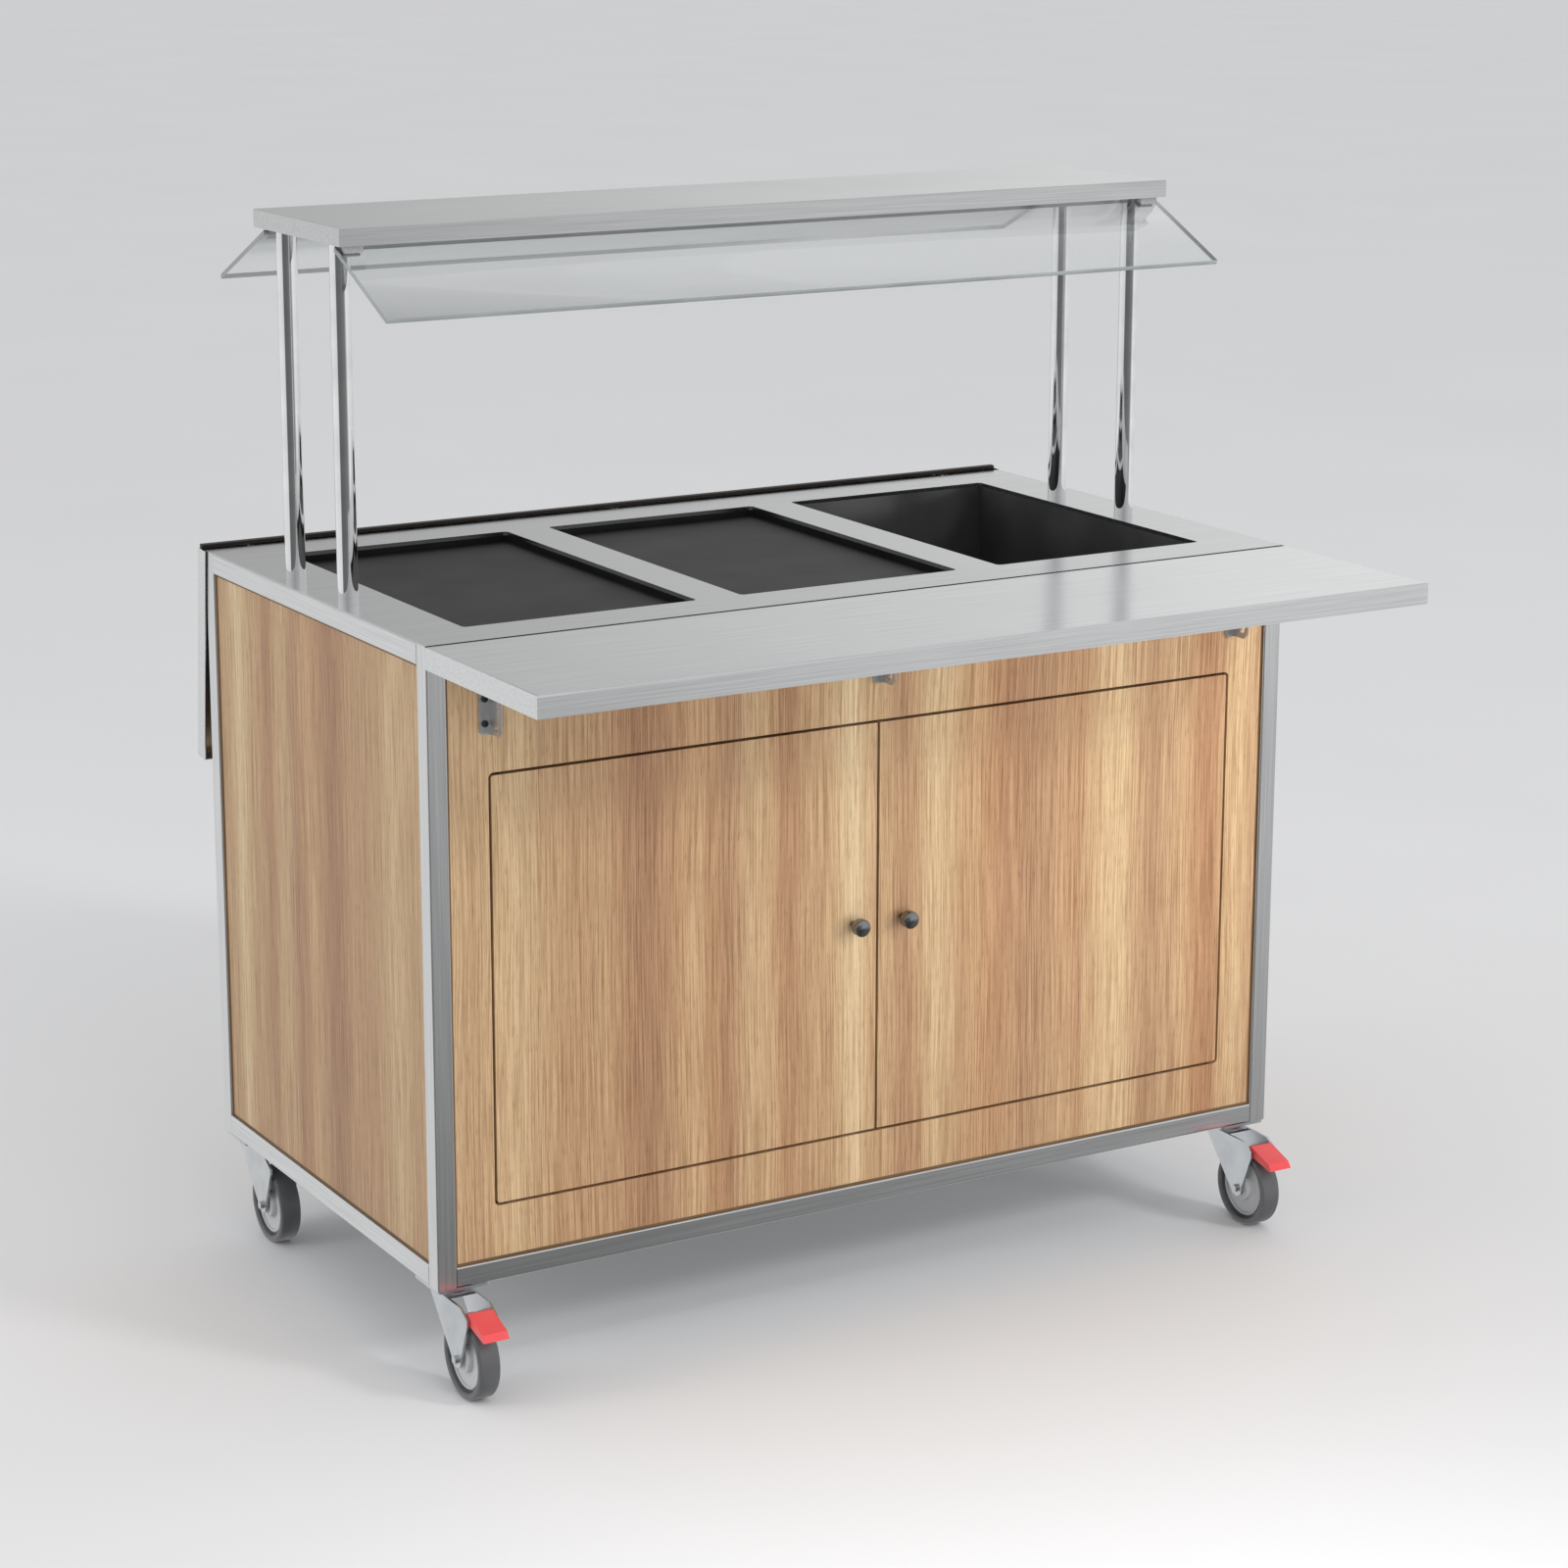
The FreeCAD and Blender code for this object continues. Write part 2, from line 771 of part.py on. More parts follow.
# The last pass runs on to the first turn round the deep well
tube_points[-1] = (px, ring_y0, coil_z)
for i in range(coil_turns):
    z = coil_z - i * ring_drop
    if i > 0:
        tube_points += [(ring_x0, ring_y0 + ring_step, z), (ring_x0, ring_y0, z)]
    tube_points += [(ring_x1, ring_y0, z), (ring_x1, ring_y1, z), (ring_x0, ring_y1, z)]
    tube_points += [(ring_x0, ring_y0 + ring_step, z)]
tube_points += [
    (ring_x0, ring_y0 + ring_step, deep_line_z), (compressor_x, ring_y0 + ring_step, deep_line_z),
    (compressor_x, compressor_y, deep_line_z), (compressor_x, compressor_y, compressor_top),
]
parts["refrigerant_tube"] = bent_tube(tube_points, coil_radius, coil_bend)


# Foam boards under and round the wells, with channels for the tube
def tube_channel(a, b):
    """A square channel round one straight run of the tube, wide enough for its bends."""
    low = [min(p, q) - channel_half for p, q in zip(a, b)]
    high = [max(p, q) + channel_half for p, q in zip(a, b)]
    return box(low[0], high[0], low[1], high[1], low[2], high[2])


foam_x0 = well_xs[0] - well_length / 2 - foam_side
foam_deep_x0 = deep_x - well_length / 2 - foam_side
foam_deep_x1 = deep_x + well_length / 2 + foam_side
boards = [
    box(foam_x0, foam_deep_x0, foam_y0, foam_y1, foam_plates_low, plate_under),
    box(foam_deep_x0, foam_deep_x1, foam_y0, foam_y1, foam_deep_low, deep_under),
]
for y0, y1 in ((foam_y0, pan_y0), (pan_y1, foam_y1)):
    boards.append(box(foam_x0, foam_deep_x0, y0, y1, plate_under, z_under))
    boards.append(box(foam_deep_x0, foam_deep_x1, y0, y1, deep_under, z_under))
strips = [
    (foam_x0, pan_side(well_xs[0], -1), plate_under),
    (pan_side(well_xs[0], 1), pan_side(well_xs[1], -1), plate_under),
    (pan_side(well_xs[1], 1), foam_deep_x0, plate_under),
    (foam_deep_x0, pan_side(deep_x, -1), deep_under),
    (pan_side(deep_x, 1), foam_deep_x1, deep_under),
]
for x0, x1, low in strips:
    boards.append(box(x0, x1, pan_y0, pan_y1, low, z_under))
coil_spaces = [
    box(
        x - well_length / 2 + coil_margin - coil_space,
        x + well_length / 2 - coil_margin + coil_space,
        coil_y0 - coil_space, coil_y1 + coil_space, plate_under - coil_space, plate_under,
    )
    for x in well_xs[:2]
]
drain_hole = cylinder(
    drain_radius + 3, (deep_x, drain_y, foam_deep_low - 1), (0, 0, 1), foam_below_deep + 2
)
drain_ring = cylinder(drain_radius + 8, (deep_x, drain_y, deep_under - 3), (0, 0, 1), 3)
channels = [tube_channel(a, b) for a, b in zip(tube_points[:-1], tube_points[1:])]
foam_cuts = channels + coil_spaces + [drain_hole, drain_ring]
parts["well_foam"] = group([board.cut(foam_cuts) for board in boards])

# Drain: a pipe out of the deep well's floor with a quarter-turn valve
drain_low = foam_deep_low - drain_length
drain_rise = z_top - deep_well_drop - drain_low
drain_pipe = cylinder(drain_radius, (deep_x, drain_y, drain_low), (0, 0, 1), drain_rise)
valve_z = drain_low + valve_rise
valve = cylinder(
    drain_radius + 6, (deep_x, drain_y, valve_z - valve_height / 2), (0, 0, 1), valve_height
)
valve_neck = cylinder(6, (deep_x, drain_y, valve_z), (0, -1, 0), drain_radius + 12)
drain_bore = cylinder(drain_radius - 2, (deep_x, drain_y, drain_low - 1), (0, 0, 1), drain_rise + 2)
lever_y = drain_y - drain_radius - 12
spindle = cylinder(spindle_radius, (deep_x, lever_y, valve_z), (0, -1, 0), 6)
parts["drain"] = joined([drain_pipe, valve, valve_neck, drain_ring]).cut(drain_bore).fuse(spindle)
lever = joined(
    [
        cylinder(9, (deep_x, lever_y - 0.4, valve_z), (0, -1, 0), 6),
        box(deep_x - 6, deep_x + 6, lever_y - 6.4, lever_y - 3.4, valve_z - lever_length, valve_z),
    ]
)
lever_bore = cylinder(
    spindle_radius + run_clear, (deep_x, lever_y + 1, valve_z), (0, -1, 0), 20
)
parts["drain_lever"] = lever.cut(lever_bore)

# Condensing unit
unit = box(
    unit_x - unit_length / 2, unit_x + unit_length / 2, unit_y - unit_depth / 2,
    unit_y + unit_depth / 2, floor_top, unit_base_top,
)
parts["unit_base"] = unit

foot_reach = compressor_radius * 0.8
grommets = []
for dx in (-foot_reach, foot_reach):
    for dy in (-foot_reach, foot_reach):
        place = (compressor_x + dx, compressor_y + dy, unit_base_top)
        grommets.append(cylinder(grommet_radius, place, (0, 0, 1), grommet_height))
parts["compressor_grommets"] = group(grommets)
can = cylinder(
    compressor_radius, (compressor_x, compressor_y, compressor_low + 3),
    (0, 0, 1), compressor_height - 3,
)
can = can.makeFillet(24.0, [e for e in can.Edges if e.Closed])
foot = box(
    compressor_x - foot_reach - 14, compressor_x + foot_reach + 14,
    compressor_y - foot_reach - 14, compressor_y + foot_reach + 14,
    compressor_low, compressor_low + 4,
)
terminal = box(
    compressor_x - 25, compressor_x + 25, compressor_y - compressor_radius - 18,
    compressor_y - compressor_radius + 20, compressor_low + 60, compressor_low + 110,
)
parts["compressor"] = joined([can, foot, terminal])

condenser_x1 = condenser_x0 + condenser_length
fins = []
for i in range(fin_count):
    x = condenser_x0 + i * (condenser_length - fin_sheet) / (fin_count - 1)
    fins.append(box(x, x + fin_sheet, condenser_y0, condenser_y1, unit_base_top, condenser_top))
for z in (0.2, 0.4, 0.6, 0.8):
    start = (condenser_x0, feed_y, unit_base_top + z * condenser_height)
    fins.append(cylinder(coil_radius, start, (1, 0, 0), condenser_length))
fins.append(
    box(
        condenser_x0, condenser_x1, condenser_y0, condenser_y1,
        condenser_top - 2, condenser_top,
    )
)
parts["condenser"] = joined(fins)

fan_x = (condenser_x0 + condenser_x1) / 2
fan_z = unit_base_top + condenser_height / 2
housing_y0 = condenser_y0 - fan_housing_depth
housing = box(condenser_x0, condenser_x1, housing_y0, condenser_y0, unit_base_top, condenser_top)
housing = housing.cut(
    box(
        condenser_x0 + fan_housing_sheet, condenser_x1 - fan_housing_sheet,
        housing_y0 + fan_housing_sheet, condenser_y0 + 1,
        unit_base_top - 1, condenser_top - fan_housing_sheet,
    )
)
fan_hole = cylinder(
    fan_radius + fan_clear, (fan_x, housing_y0 - 1, fan_z), (0, 1, 0), fan_housing_sheet + 2
)
housing = housing.cut(fan_hole)
motor_face = housing_y0 - motor_gap
motor = cylinder(fan_hub_radius, (fan_x, motor_face - motor_length, fan_z), (0, 1, 0), motor_length)
motor_shaft = cylinder(
    motor_shaft_radius, (fan_x, motor_face, fan_z), (0, 1, 0),
    fan_hub_gap + fan_hub_length + motor_shaft_end,
)
spider_z0 = fan_z - spider_width / 2
spider_z1 = fan_z + spider_width / 2
spider_x0 = condenser_x0 + fan_housing_sheet
spider_x1 = condenser_x1 - fan_housing_sheet
struts = [box(spider_x0, spider_x1, motor_face - spider_depth, motor_face, spider_z0, spider_z1)]
for x in (spider_x0, spider_x1 - spider_width):
    struts.append(
        box(x, x + spider_width, motor_face - spider_depth, housing_y0, spider_z0, spider_z1)
    )
parts["fan_housing"] = joined([housing, motor, motor_shaft] + struts)

hub_start = motor_face + fan_hub_gap
blade_y = hub_start + fan_hub_length / 2
blades = [cylinder(fan_hub_radius * 0.9, (fan_x, hub_start, fan_z), (0, 1, 0), fan_hub_length)]
for i in range(fan_blades):
    blade = box(
        -blade_chord / 2, blade_chord / 2, blade_y - blade_sheet / 2, blade_y + blade_sheet / 2,
        fan_hub_radius * 0.7, fan_radius - fan_clear,
    )
    blade.rotate(V(0, blade_y, 0), V(0, 0, 1), blade_turn)
    blade.rotate(V(0, 0, 0), V(0, 1, 0), i * 360.0 / fan_blades)
    blade.translate(V(fan_x, 0, fan_z))
    blades.append(blade)
rotor_bore = cylinder(
    motor_shaft_radius + run_clear, (fan_x, hub_start - 1, fan_z), (0, 1, 0), fan_hub_length + 2
)
parts["fan_rotor"] = joined(blades).cut(rotor_bore)

# Overshelf on its four posts
shelf_under = shelf_top - shelf_sheet
shelf_y0 = gantry_y - shelf_depth / 2
shelf_y1 = gantry_y + shelf_depth / 2
shelf_half = shelf_length / 2


def lipped_sheet(x_half, y0, y1, top, lip, sheet, bend):
    """A sheet with its four edges turned down, rounded at the bends."""
    outer = box(-x_half, x_half, y0, y1, top - lip, top)
    top_edges = [e for e in outer.Edges if e.BoundBox.ZMin > top - 0.01]
    outer = outer.makeFillet(bend, top_edges)
    inner = box(
        -x_half + sheet, x_half - sheet, y0 + sheet, y1 - sheet, top - 2 * lip, top - sheet
    )
    inner_top = [e for e in inner.Edges if e.BoundBox.ZMin > top - sheet - 0.01]
    inner = inner.makeFillet(max(bend - sheet, 0.3), inner_top)
    return outer.cut(inner)


parts["overshelf"] = lipped_sheet(
    shelf_half, shelf_y0, shelf_y1, shelf_top, shelf_lip, shelf_sheet, 2.0
)
gantry_posts = []
post_nuts = []
for x, y in gantry_places:
    post = cylinder(gantry_post_radius, (x, y, z_top), (0, 0, 1), shelf_under - z_top)
    post = post.cut(
        cylinder(post_stud_radius, (x, y, z_top - 1), (0, 0, 1), 1 + post_stud_reach)
    )
    gantry_posts.append(post)
    hexagon = [
        (x + post_nut_radius * math.cos(math.radians(a)),
         y + post_nut_radius * math.sin(math.radians(a)))
        for a in range(0, 360, 60)
    ]
    nut = prism(hexagon, "xy", z_under - post_nut_height, z_under)
    stud = cylinder(
        post_stud_radius, (x, y, z_under - post_nut_height),
        (0, 0, 1), post_nut_height + worktop_sheet + post_stud_reach,
    )
    post_nuts.append(joined([nut, stud]))
parts["overshelf_posts"] = group(gantry_posts)
parts["post_nuts"] = group(post_nuts)

# Guards: clear sheets that slope down and outwards from under the shelf's lips
guard_angle = math.radians(guard_slope)
guard_in = (shelf_y0 + guard_tuck, shelf_top - shelf_lip - guard_drop)
guard_run = (-math.cos(guard_angle), -math.sin(guard_angle))
guard_down = (math.sin(guard_angle), -math.cos(guard_angle))


def guard_point(along, below):
    """A point in the yz plane, from the front guard's inner top edge."""
    return (
        guard_in[0] + along * guard_run[0] + below * guard_down[0],
        guard_in[1] + along * guard_run[1] + below * guard_down[1],
    )


def to_rear_guard(shape):
    """The same piece at the shelf's rear edge."""
    turned = shape.copy()
    turned.rotate(V(0, gantry_y, 0), V(0, 0, 1), 180)
    return turned


guard = prism(
    [
        guard_point(0, 0), guard_point(guard_width, 0),
        guard_point(guard_width, guard_thickness), guard_point(0, guard_thickness),
    ],
    "yz", -guard_length / 2, guard_length / 2,
)
parts["front_guard"] = guard
parts["rear_guard"] = to_rear_guard(guard)

clamps = []
for x in (gantry_post_inset - half_length, half_length - gantry_post_inset):
    clamp = prism(
        [
            guard_point(0, 0), guard_point(16, 0),
            (guard_point(16, 0)[0], shelf_top - shelf_lip + 4.0),
            (shelf_y0 + guard_tuck - 8, shelf_under), (shelf_y0 + guard_tuck + 3, shelf_under),
            (shelf_y0 + guard_tuck + 3, guard_point(-3, 8)[1]), guard_point(10, guard_thickness + 2),
            guard_point(10, guard_thickness), guard_point(0, guard_thickness),
        ],
        "yz", x - clamp_width / 2, x + clamp_width / 2,
    )
    clamps.append(clamp)
    clamps.append(to_rear_guard(clamp))
parts["guard_clamps"] = group(clamps)

# Folding tray brackets. Points are given as (outward, up) from the tray's pivot.
pivot_front_y = y_front - tray_pivot_out
pivot_z = z_top - tray_pivot_drop
strut_length = strut_reach / math.cos(math.radians(strut_angle))


def at(outward, up):
    return (pivot_front_y - outward, pivot_z + up)


def foot_place(turn):
    """Where the strut's foot pin is, when the tray has folded by a turn."""
    lean = math.radians(strut_angle) + (strut_ratio - 1) * turn
    outward = strut_reach * math.cos(turn) - strut_length * math.cos(lean)
    up = -strut_reach * math.sin(turn) - strut_length * math.sin(lean)
    return outward, up


# The cheek and its flange reach just below the slot's low end
bracket_drop = tray_pivot_drop - foot_place(fold)[1] + pin_radius + slot_clear + bracket_edge


def clear_edge(up):
    """How far out the cheek may reach, just inside the folded tray's underside."""
    under = (tray_pivot_drop - tray_sheet) / math.cos(tilt)
    return under - up * math.tan(tilt) - bracket_clear


def bracket(x):
    """Cheek with the foot pin's slot, and the flange that is screwed to the panel."""
    low_end = tray_pivot_drop - bracket_drop
    outer_edge = bracket_out - tray_pivot_out
    outline = [
        (-tray_pivot_out - panel_recess, low_end), (outer_edge - 8, low_end),
        (outer_edge, low_end + 8), (outer_edge, -(outer_edge - clear_edge(0)) / math.tan(tilt)),
        (clear_edge(0), 0), (-bracket_top_round, 0), (-bracket_top_round, -1.5),
        (-tray_pivot_out + 0.3, -1.5), (-tray_pivot_out + 0.3, panel_high - pivot_z - 1),
        (-tray_pivot_out - panel_recess, panel_high - pivot_z - 1),
    ]
    cheek = prism([at(o, u) for o, u in outline], "yz", x, x + bracket_sheet)
    boss = cylinder(bracket_top_round, (x, *at(0, 0)), (1, 0, 0), bracket_sheet)
    flange = box(
        x - bracket_flange, x + bracket_sheet, flange_face, flange_face + bracket_sheet,
        z_top - bracket_drop, panel_high - 1,
    )
    low = [
        e for e in edges_along(flange, V(0, 1, 0))
        if e.CenterOfMass.z < z_top - bracket_drop + 1 and e.CenterOfMass.x < x
    ]
    flange = flange.makeFillet(6.0, low)
    shape = joined([cheek, boss, flange])
    half = pin_radius + slot_clear
    steps = [foot_place(fold * i / 8) for i in range(9)]
    for o, u in steps:
        shape = shape.cut(cylinder(half, (x - 1, *at(o, u)), (1, 0, 0), bracket_sheet + 2))
    for a, b in zip(steps[:-1], steps[1:]):
        run = math.hypot(b[0] - a[0], b[1] - a[1])
        side = (half * (b[1] - a[1]) / run, -half * (b[0] - a[0]) / run)
        link = [
            (a[0] + side[0], a[1] + side[1]), (b[0] + side[0], b[1] + side[1]),
            (b[0] - side[0], b[1] - side[1]), (a[0] - side[0], a[1] - side[1]),
        ]
        shape = shape.cut(prism([at(o, u) for o, u in link], "yz", x - 1, x + bracket_sheet + 1))
    return shape.cut(cylinder(pin_radius, (x - 1, *at(0, 0)), (1, 0, 0), bracket_sheet + 2))


brackets = []
pivot_bolts = []
arms = []
links = []
strut_x = bracket_sheet + link_gap
arm_x = strut_x + strut_thickness + link_gap
for x in bracket_xs:
    plate = bracket(x)
    for hole in screw_holes:
        plate = plate.cut(hole)
    brackets.append(plate)
    bolt = joined(
        [
            cylinder(5.0, (x - 2.5, *at(0, 0)), (1, 0, 0), 2.5),
            cylinder(pin_radius, (x - 2.5, *at(0, 0)), (1, 0, 0), 2.5 + arm_x + arm_thickness + 0.6),
            cylinder(5.0, (x + arm_x + arm_thickness + 0.3, *at(0, 0)), (1, 0, 0), 1.5),
        ]
    )
    pivot_bolts.append(bolt)
    under = tray_pivot_drop - tray_sheet
    arm_outline = [
        (-bracket_top_round, 0), (0, -bracket_top_round), (arm_heel, -arm_below),
        (arm_length - arm_toe, -arm_below), (arm_length, -2), (arm_length, under), (-2, under),
    ]
    arm = prism([at(o, u) for o, u in arm_outline], "yz", x + arm_x, x + arm_x + arm_thickness)
    arm = arm.fuse(cylinder(pin_radius, (x + strut_x, *at(strut_reach, 0)), (1, 0, 0), arm_x - strut_x))
    reach = arm_x + arm_thickness + 1
    arm = arm.cut(cylinder(pin_radius + run_clear, (x, *at(0, 0)), (1, 0, 0), reach))
    arms.append(arm)
    foot_o, foot_u = foot_place(0.0)
    dx, dz = foot_o - strut_reach, foot_u
    nx = -dz / strut_length * strut_half_width
    nz = dx / strut_length * strut_half_width
    bar = prism(
        [
            at(strut_reach + nx, nz), at(foot_o + nx, foot_u + nz),
            at(foot_o - nx, foot_u - nz), at(strut_reach - nx, -nz),
        ],
        "yz", x + strut_x, x + strut_x + strut_thickness,
    )
    ends = [
        cylinder(strut_half_width, (x + strut_x, *at(o, u)), (1, 0, 0), strut_thickness)
        for o, u in ((strut_reach, 0), (foot_o, foot_u))
    ]
    link = joined([bar] + ends)
    link = link.cut(cylinder(pin_radius + run_clear, (x, *at(strut_reach, 0)), (1, 0, 0), reach))
    link = link.fuse(cylinder(pin_radius, (x - 0.5, *at(foot_o, foot_u)), (1, 0, 0), strut_x + 0.5))
    links.append(link)

# Tray slides: a sheet with its edges turned down, the inner edge less far, and three
# arms welded under it. The lips are pieces of their own, from the bend downwards.
tray_half = half_length + tray_side_clear + tray_sheet
tray_in = seal_clear + seal_thickness
tray = lipped_sheet(
    tray_half, y_front - tray_reach, y_front - tray_in, z_top, tray_lip, tray_sheet, tray_bend
)
tray = tray.cut(
    box(
        -tray_half + tray_sheet, tray_half - tray_sheet, y_front - tray_in - 2 * tray_sheet, y_front,
        z_top - 2 * tray_lip, z_top - tray_pivot_drop,
    )
)
lip_top = z_top - tray_bend
lip_low = z_top - tray_lip
tray_y0 = y_front - tray_reach
tray_y1 = y_front - tray_in
flat_pieces = [
    (-tray_half, tray_half, tray_y0, tray_y1, lip_top, z_top),
    (-tray_half, tray_half, tray_y0, tray_y0 + tray_sheet, lip_low, lip_top),
    (-tray_half, tray_half, tray_y1 - tray_sheet, tray_y1, lip_low, lip_top),
    (-tray_half, tray_sheet - tray_half, tray_y0 + tray_sheet, tray_y1 - tray_sheet, lip_low, lip_top),
    (tray_half - tray_sheet, tray_half, tray_y0 + tray_sheet, tray_y1 - tray_sheet, lip_low, lip_top),
]
tray = group([tray.common(box(*limits)) for limits in flat_pieces] + arms)
seal = box(
    1 - half_length, half_length - 1, y_front - tray_in, y_front - seal_clear,
    z_top - tray_pivot_drop, z_top - 0.5,
)


def folded(shape, extra=0.0):
    """A front piece moved to the rear side and folded down with its tray."""
    turned = to_rear(shape)
    if extra:
        turned.rotate(V(0, *rear_at(strut_reach, 0)), V(1, 0, 0), extra)
    turned.rotate(V(0, *rear_at(0, 0)), V(1, 0, 0), -tray_fold)
    return turned


def rear_at(outward, up):
    return (2 * body_y - pivot_front_y + outward, pivot_z + up)


parts["front_tray"] = tray
parts["front_tray_seal"] = seal
parts["front_struts"] = group(links)
parts["rear_tray"] = folded(tray)
parts["rear_tray_seal"] = folded(seal)
parts["rear_struts"] = folded(group(links), tray_fold * strut_ratio)
parts["tray_brackets"] = group(brackets + [to_rear(b) for b in brackets])
parts["tray_pivot_bolts"] = group(pivot_bolts + [to_rear(b) for b in pivot_bolts])
parts["bracket_screws"] = group(screws + [to_rear(s) for s in screws])

# Castors, all trailing towards the door side
caster_places = {
    "front_left": (caster_inset - half_length, y_front + caster_inset),
    "front_right": (half_length - caster_inset, y_front + caster_inset),
    "rear_left": (caster_inset - half_length, y_rear - caster_inset),
    "rear_right": (half_length - caster_inset, y_rear - caster_inset),
}
plate_low = z_base - caster_plate_thickness
race_low = plate_low - caster_race_height
crown_low = race_low - fork_sheet
plates = []
for name, (x, y) in caster_places.items():
    half = caster_plate / 2
    plate = rounded(box(x - half, x + half, y - half, y + half, plate_low, z_base), (0, 0, 1), 6.0)
    kingpin = cylinder(kingpin_radius, (x, y, crown_low - 4), (0, 0, 1), plate_low - crown_low + 4)
    cap = cylinder(kingpin_radius + 3, (x, y, crown_low - 4), (0, 0, 1), 3.5)
    plates.append(joined([plate, kingpin, cap]))

    axle_y = y - caster_trail
    axle = (axle_y, wheel_radius)
    pedal_y = y - pedal_pin_out
    leg = [
        (y + fork_back, crown_low), (y + fork_back, race_low), (axle_y - 12, race_low),
        (pedal_y - 8, pedal_pin_height + 2), (pedal_y - 8, pedal_pin_height - 6),
        (axle_y - 12, wheel_radius + 6), (axle_y - 10, wheel_radius - 6),
        (axle_y - 2, wheel_radius - 11), (axle_y + 6, wheel_radius - 9),
    ]
    inside = fork_inside / 2
    outside = inside + fork_sheet
    pieces = [
        prism(leg, "yz", x - outside, x - inside),
        prism(leg, "yz", x + inside, x + outside),
        box(x - outside, x + outside, y - caster_race_radius - 2, y + fork_back, crown_low, race_low),
        cylinder(caster_race_radius, (x, y, race_low), (0, 0, 1), caster_race_height - 0.4),
        cylinder(wheel_axle_radius, (x - outside - 4, *axle), (1, 0, 0), 2 * outside + 8),
    ]
    if name.startswith("front"):
        pieces.append(
            cylinder(pin_radius, (x - outside, pedal_y, pedal_pin_height), (1, 0, 0), 2 * outside)
        )
    fork = joined(pieces)
    fork = fork.cut(
        cylinder(kingpin_radius + run_clear, (x, y, crown_low - 1), (0, 0, 1), z_base - crown_low)
    )
    parts["fork_" + name] = fork

    tread = cylinder(wheel_radius, (x - wheel_width / 2, *axle), (1, 0, 0), wheel_width)
    tread = tread.makeFillet(4.0, [e for e in tread.Edges if e.Closed])
    for way in (-1, 1):
        web_face = (x + way * wheel_web / 2, *axle)
        tread = tread.cut(cylinder(wheel_radius - wheel_tyre, web_face, (way, 0, 0), wheel_width))
    wheel_hub = cylinder(wheel_hub_radius, (x - wheel_hub_width / 2, *axle), (1, 0, 0), wheel_hub_width)
    wheel = joined([tread, wheel_hub])
    wheel = wheel.cut(
        cylinder(wheel_axle_radius + run_clear, (x - inside, *axle), (1, 0, 0), fork_inside)
    )
    parts["wheel_" + name] = wheel

    if name.startswith("front"):
        py, pz = pedal_y, pedal_pin_height
        pedal = prism(
            [
                (py + 7, pz + 5), (py - 3, pz + 8), (py - pedal_length + 6, pz - 5),
                (py - pedal_length, pz - 13), (py - pedal_length + 5, pz - 14),
                (py - 8, pz - 6), (py + 6, pz - 4),
            ],
            "yz", x - inside + 1, x + inside - 1,
        )
        pedal = pedal.cut(cylinder(pin_radius + run_clear, (x - inside, py, pz), (1, 0, 0), fork_inside))
        parts["pedal_" + name] = pedal
parts["caster_plates"] = group(plates)

os.makedirs("parts", exist_ok=True)
for name, shape in parts.items():
    shape.exportStep("parts/" + name + ".step")
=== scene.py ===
import math

import bpy
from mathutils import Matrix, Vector


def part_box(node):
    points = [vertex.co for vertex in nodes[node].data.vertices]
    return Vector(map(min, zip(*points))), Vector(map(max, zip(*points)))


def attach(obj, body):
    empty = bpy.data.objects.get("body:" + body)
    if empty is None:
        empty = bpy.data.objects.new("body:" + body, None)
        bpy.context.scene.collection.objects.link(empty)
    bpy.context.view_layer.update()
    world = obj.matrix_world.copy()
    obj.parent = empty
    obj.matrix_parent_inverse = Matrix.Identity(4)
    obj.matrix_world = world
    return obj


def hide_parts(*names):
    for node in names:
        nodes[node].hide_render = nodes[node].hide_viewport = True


# Looks of the mobile cold buffet counter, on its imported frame. Metres, +Z up,
# +X along the length, the doors face -Y.

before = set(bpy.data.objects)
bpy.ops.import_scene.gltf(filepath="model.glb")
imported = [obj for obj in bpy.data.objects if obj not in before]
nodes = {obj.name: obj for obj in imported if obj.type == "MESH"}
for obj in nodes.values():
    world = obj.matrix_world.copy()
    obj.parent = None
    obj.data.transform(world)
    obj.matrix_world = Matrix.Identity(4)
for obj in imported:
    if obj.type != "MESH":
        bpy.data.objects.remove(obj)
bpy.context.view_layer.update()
MM = 0.001


# Colours and materials

def linear(hex_colour):
    """An sRGB hex colour as linear red, green, blue and alpha."""
    channels = [int(hex_colour[i:i + 2], 16) / 255 for i in (1, 3, 5)]
    return [c / 12.92 if c <= 0.04045 else ((c + 0.055) / 1.055) ** 2.4 for c in channels] + [1.0]


def new_material(name):
    """A new material, with its node tree and its shader."""
    made = bpy.data.materials.new(name)
    made.use_nodes = True
    return made, made.node_tree, made.node_tree.nodes["Principled BSDF"]


def node(tree, kind, inputs=(), stops=(), **settings):
    """Adds a node with its settings, sets or links its inputs, and sets a ramp's stops."""
    made = tree.nodes.new(kind)
    for name, value in settings.items():
        setattr(made, name, value)
    for name, value in dict(inputs).items():
        if isinstance(value, bpy.types.NodeSocket):
            tree.links.new(value, made.inputs[name])
        else:
            made.inputs[name].default_value = value
    for i, (place, colour) in enumerate(stops):
        ramp = made.color_ramp.elements
        stop = ramp[i] if i < 2 else ramp.new(place)
        stop.position = place
        stop.color = linear(colour)
    return made


def shade(tree, shader, **values):
    """Sets or links the shader's own sockets; an underscore stands for a space."""
    for name, value in values.items():
        socket = shader.inputs[name.replace("_", " ")]
        if isinstance(value, bpy.types.NodeSocket):
            tree.links.new(value, socket)
        else:
            socket.default_value = value


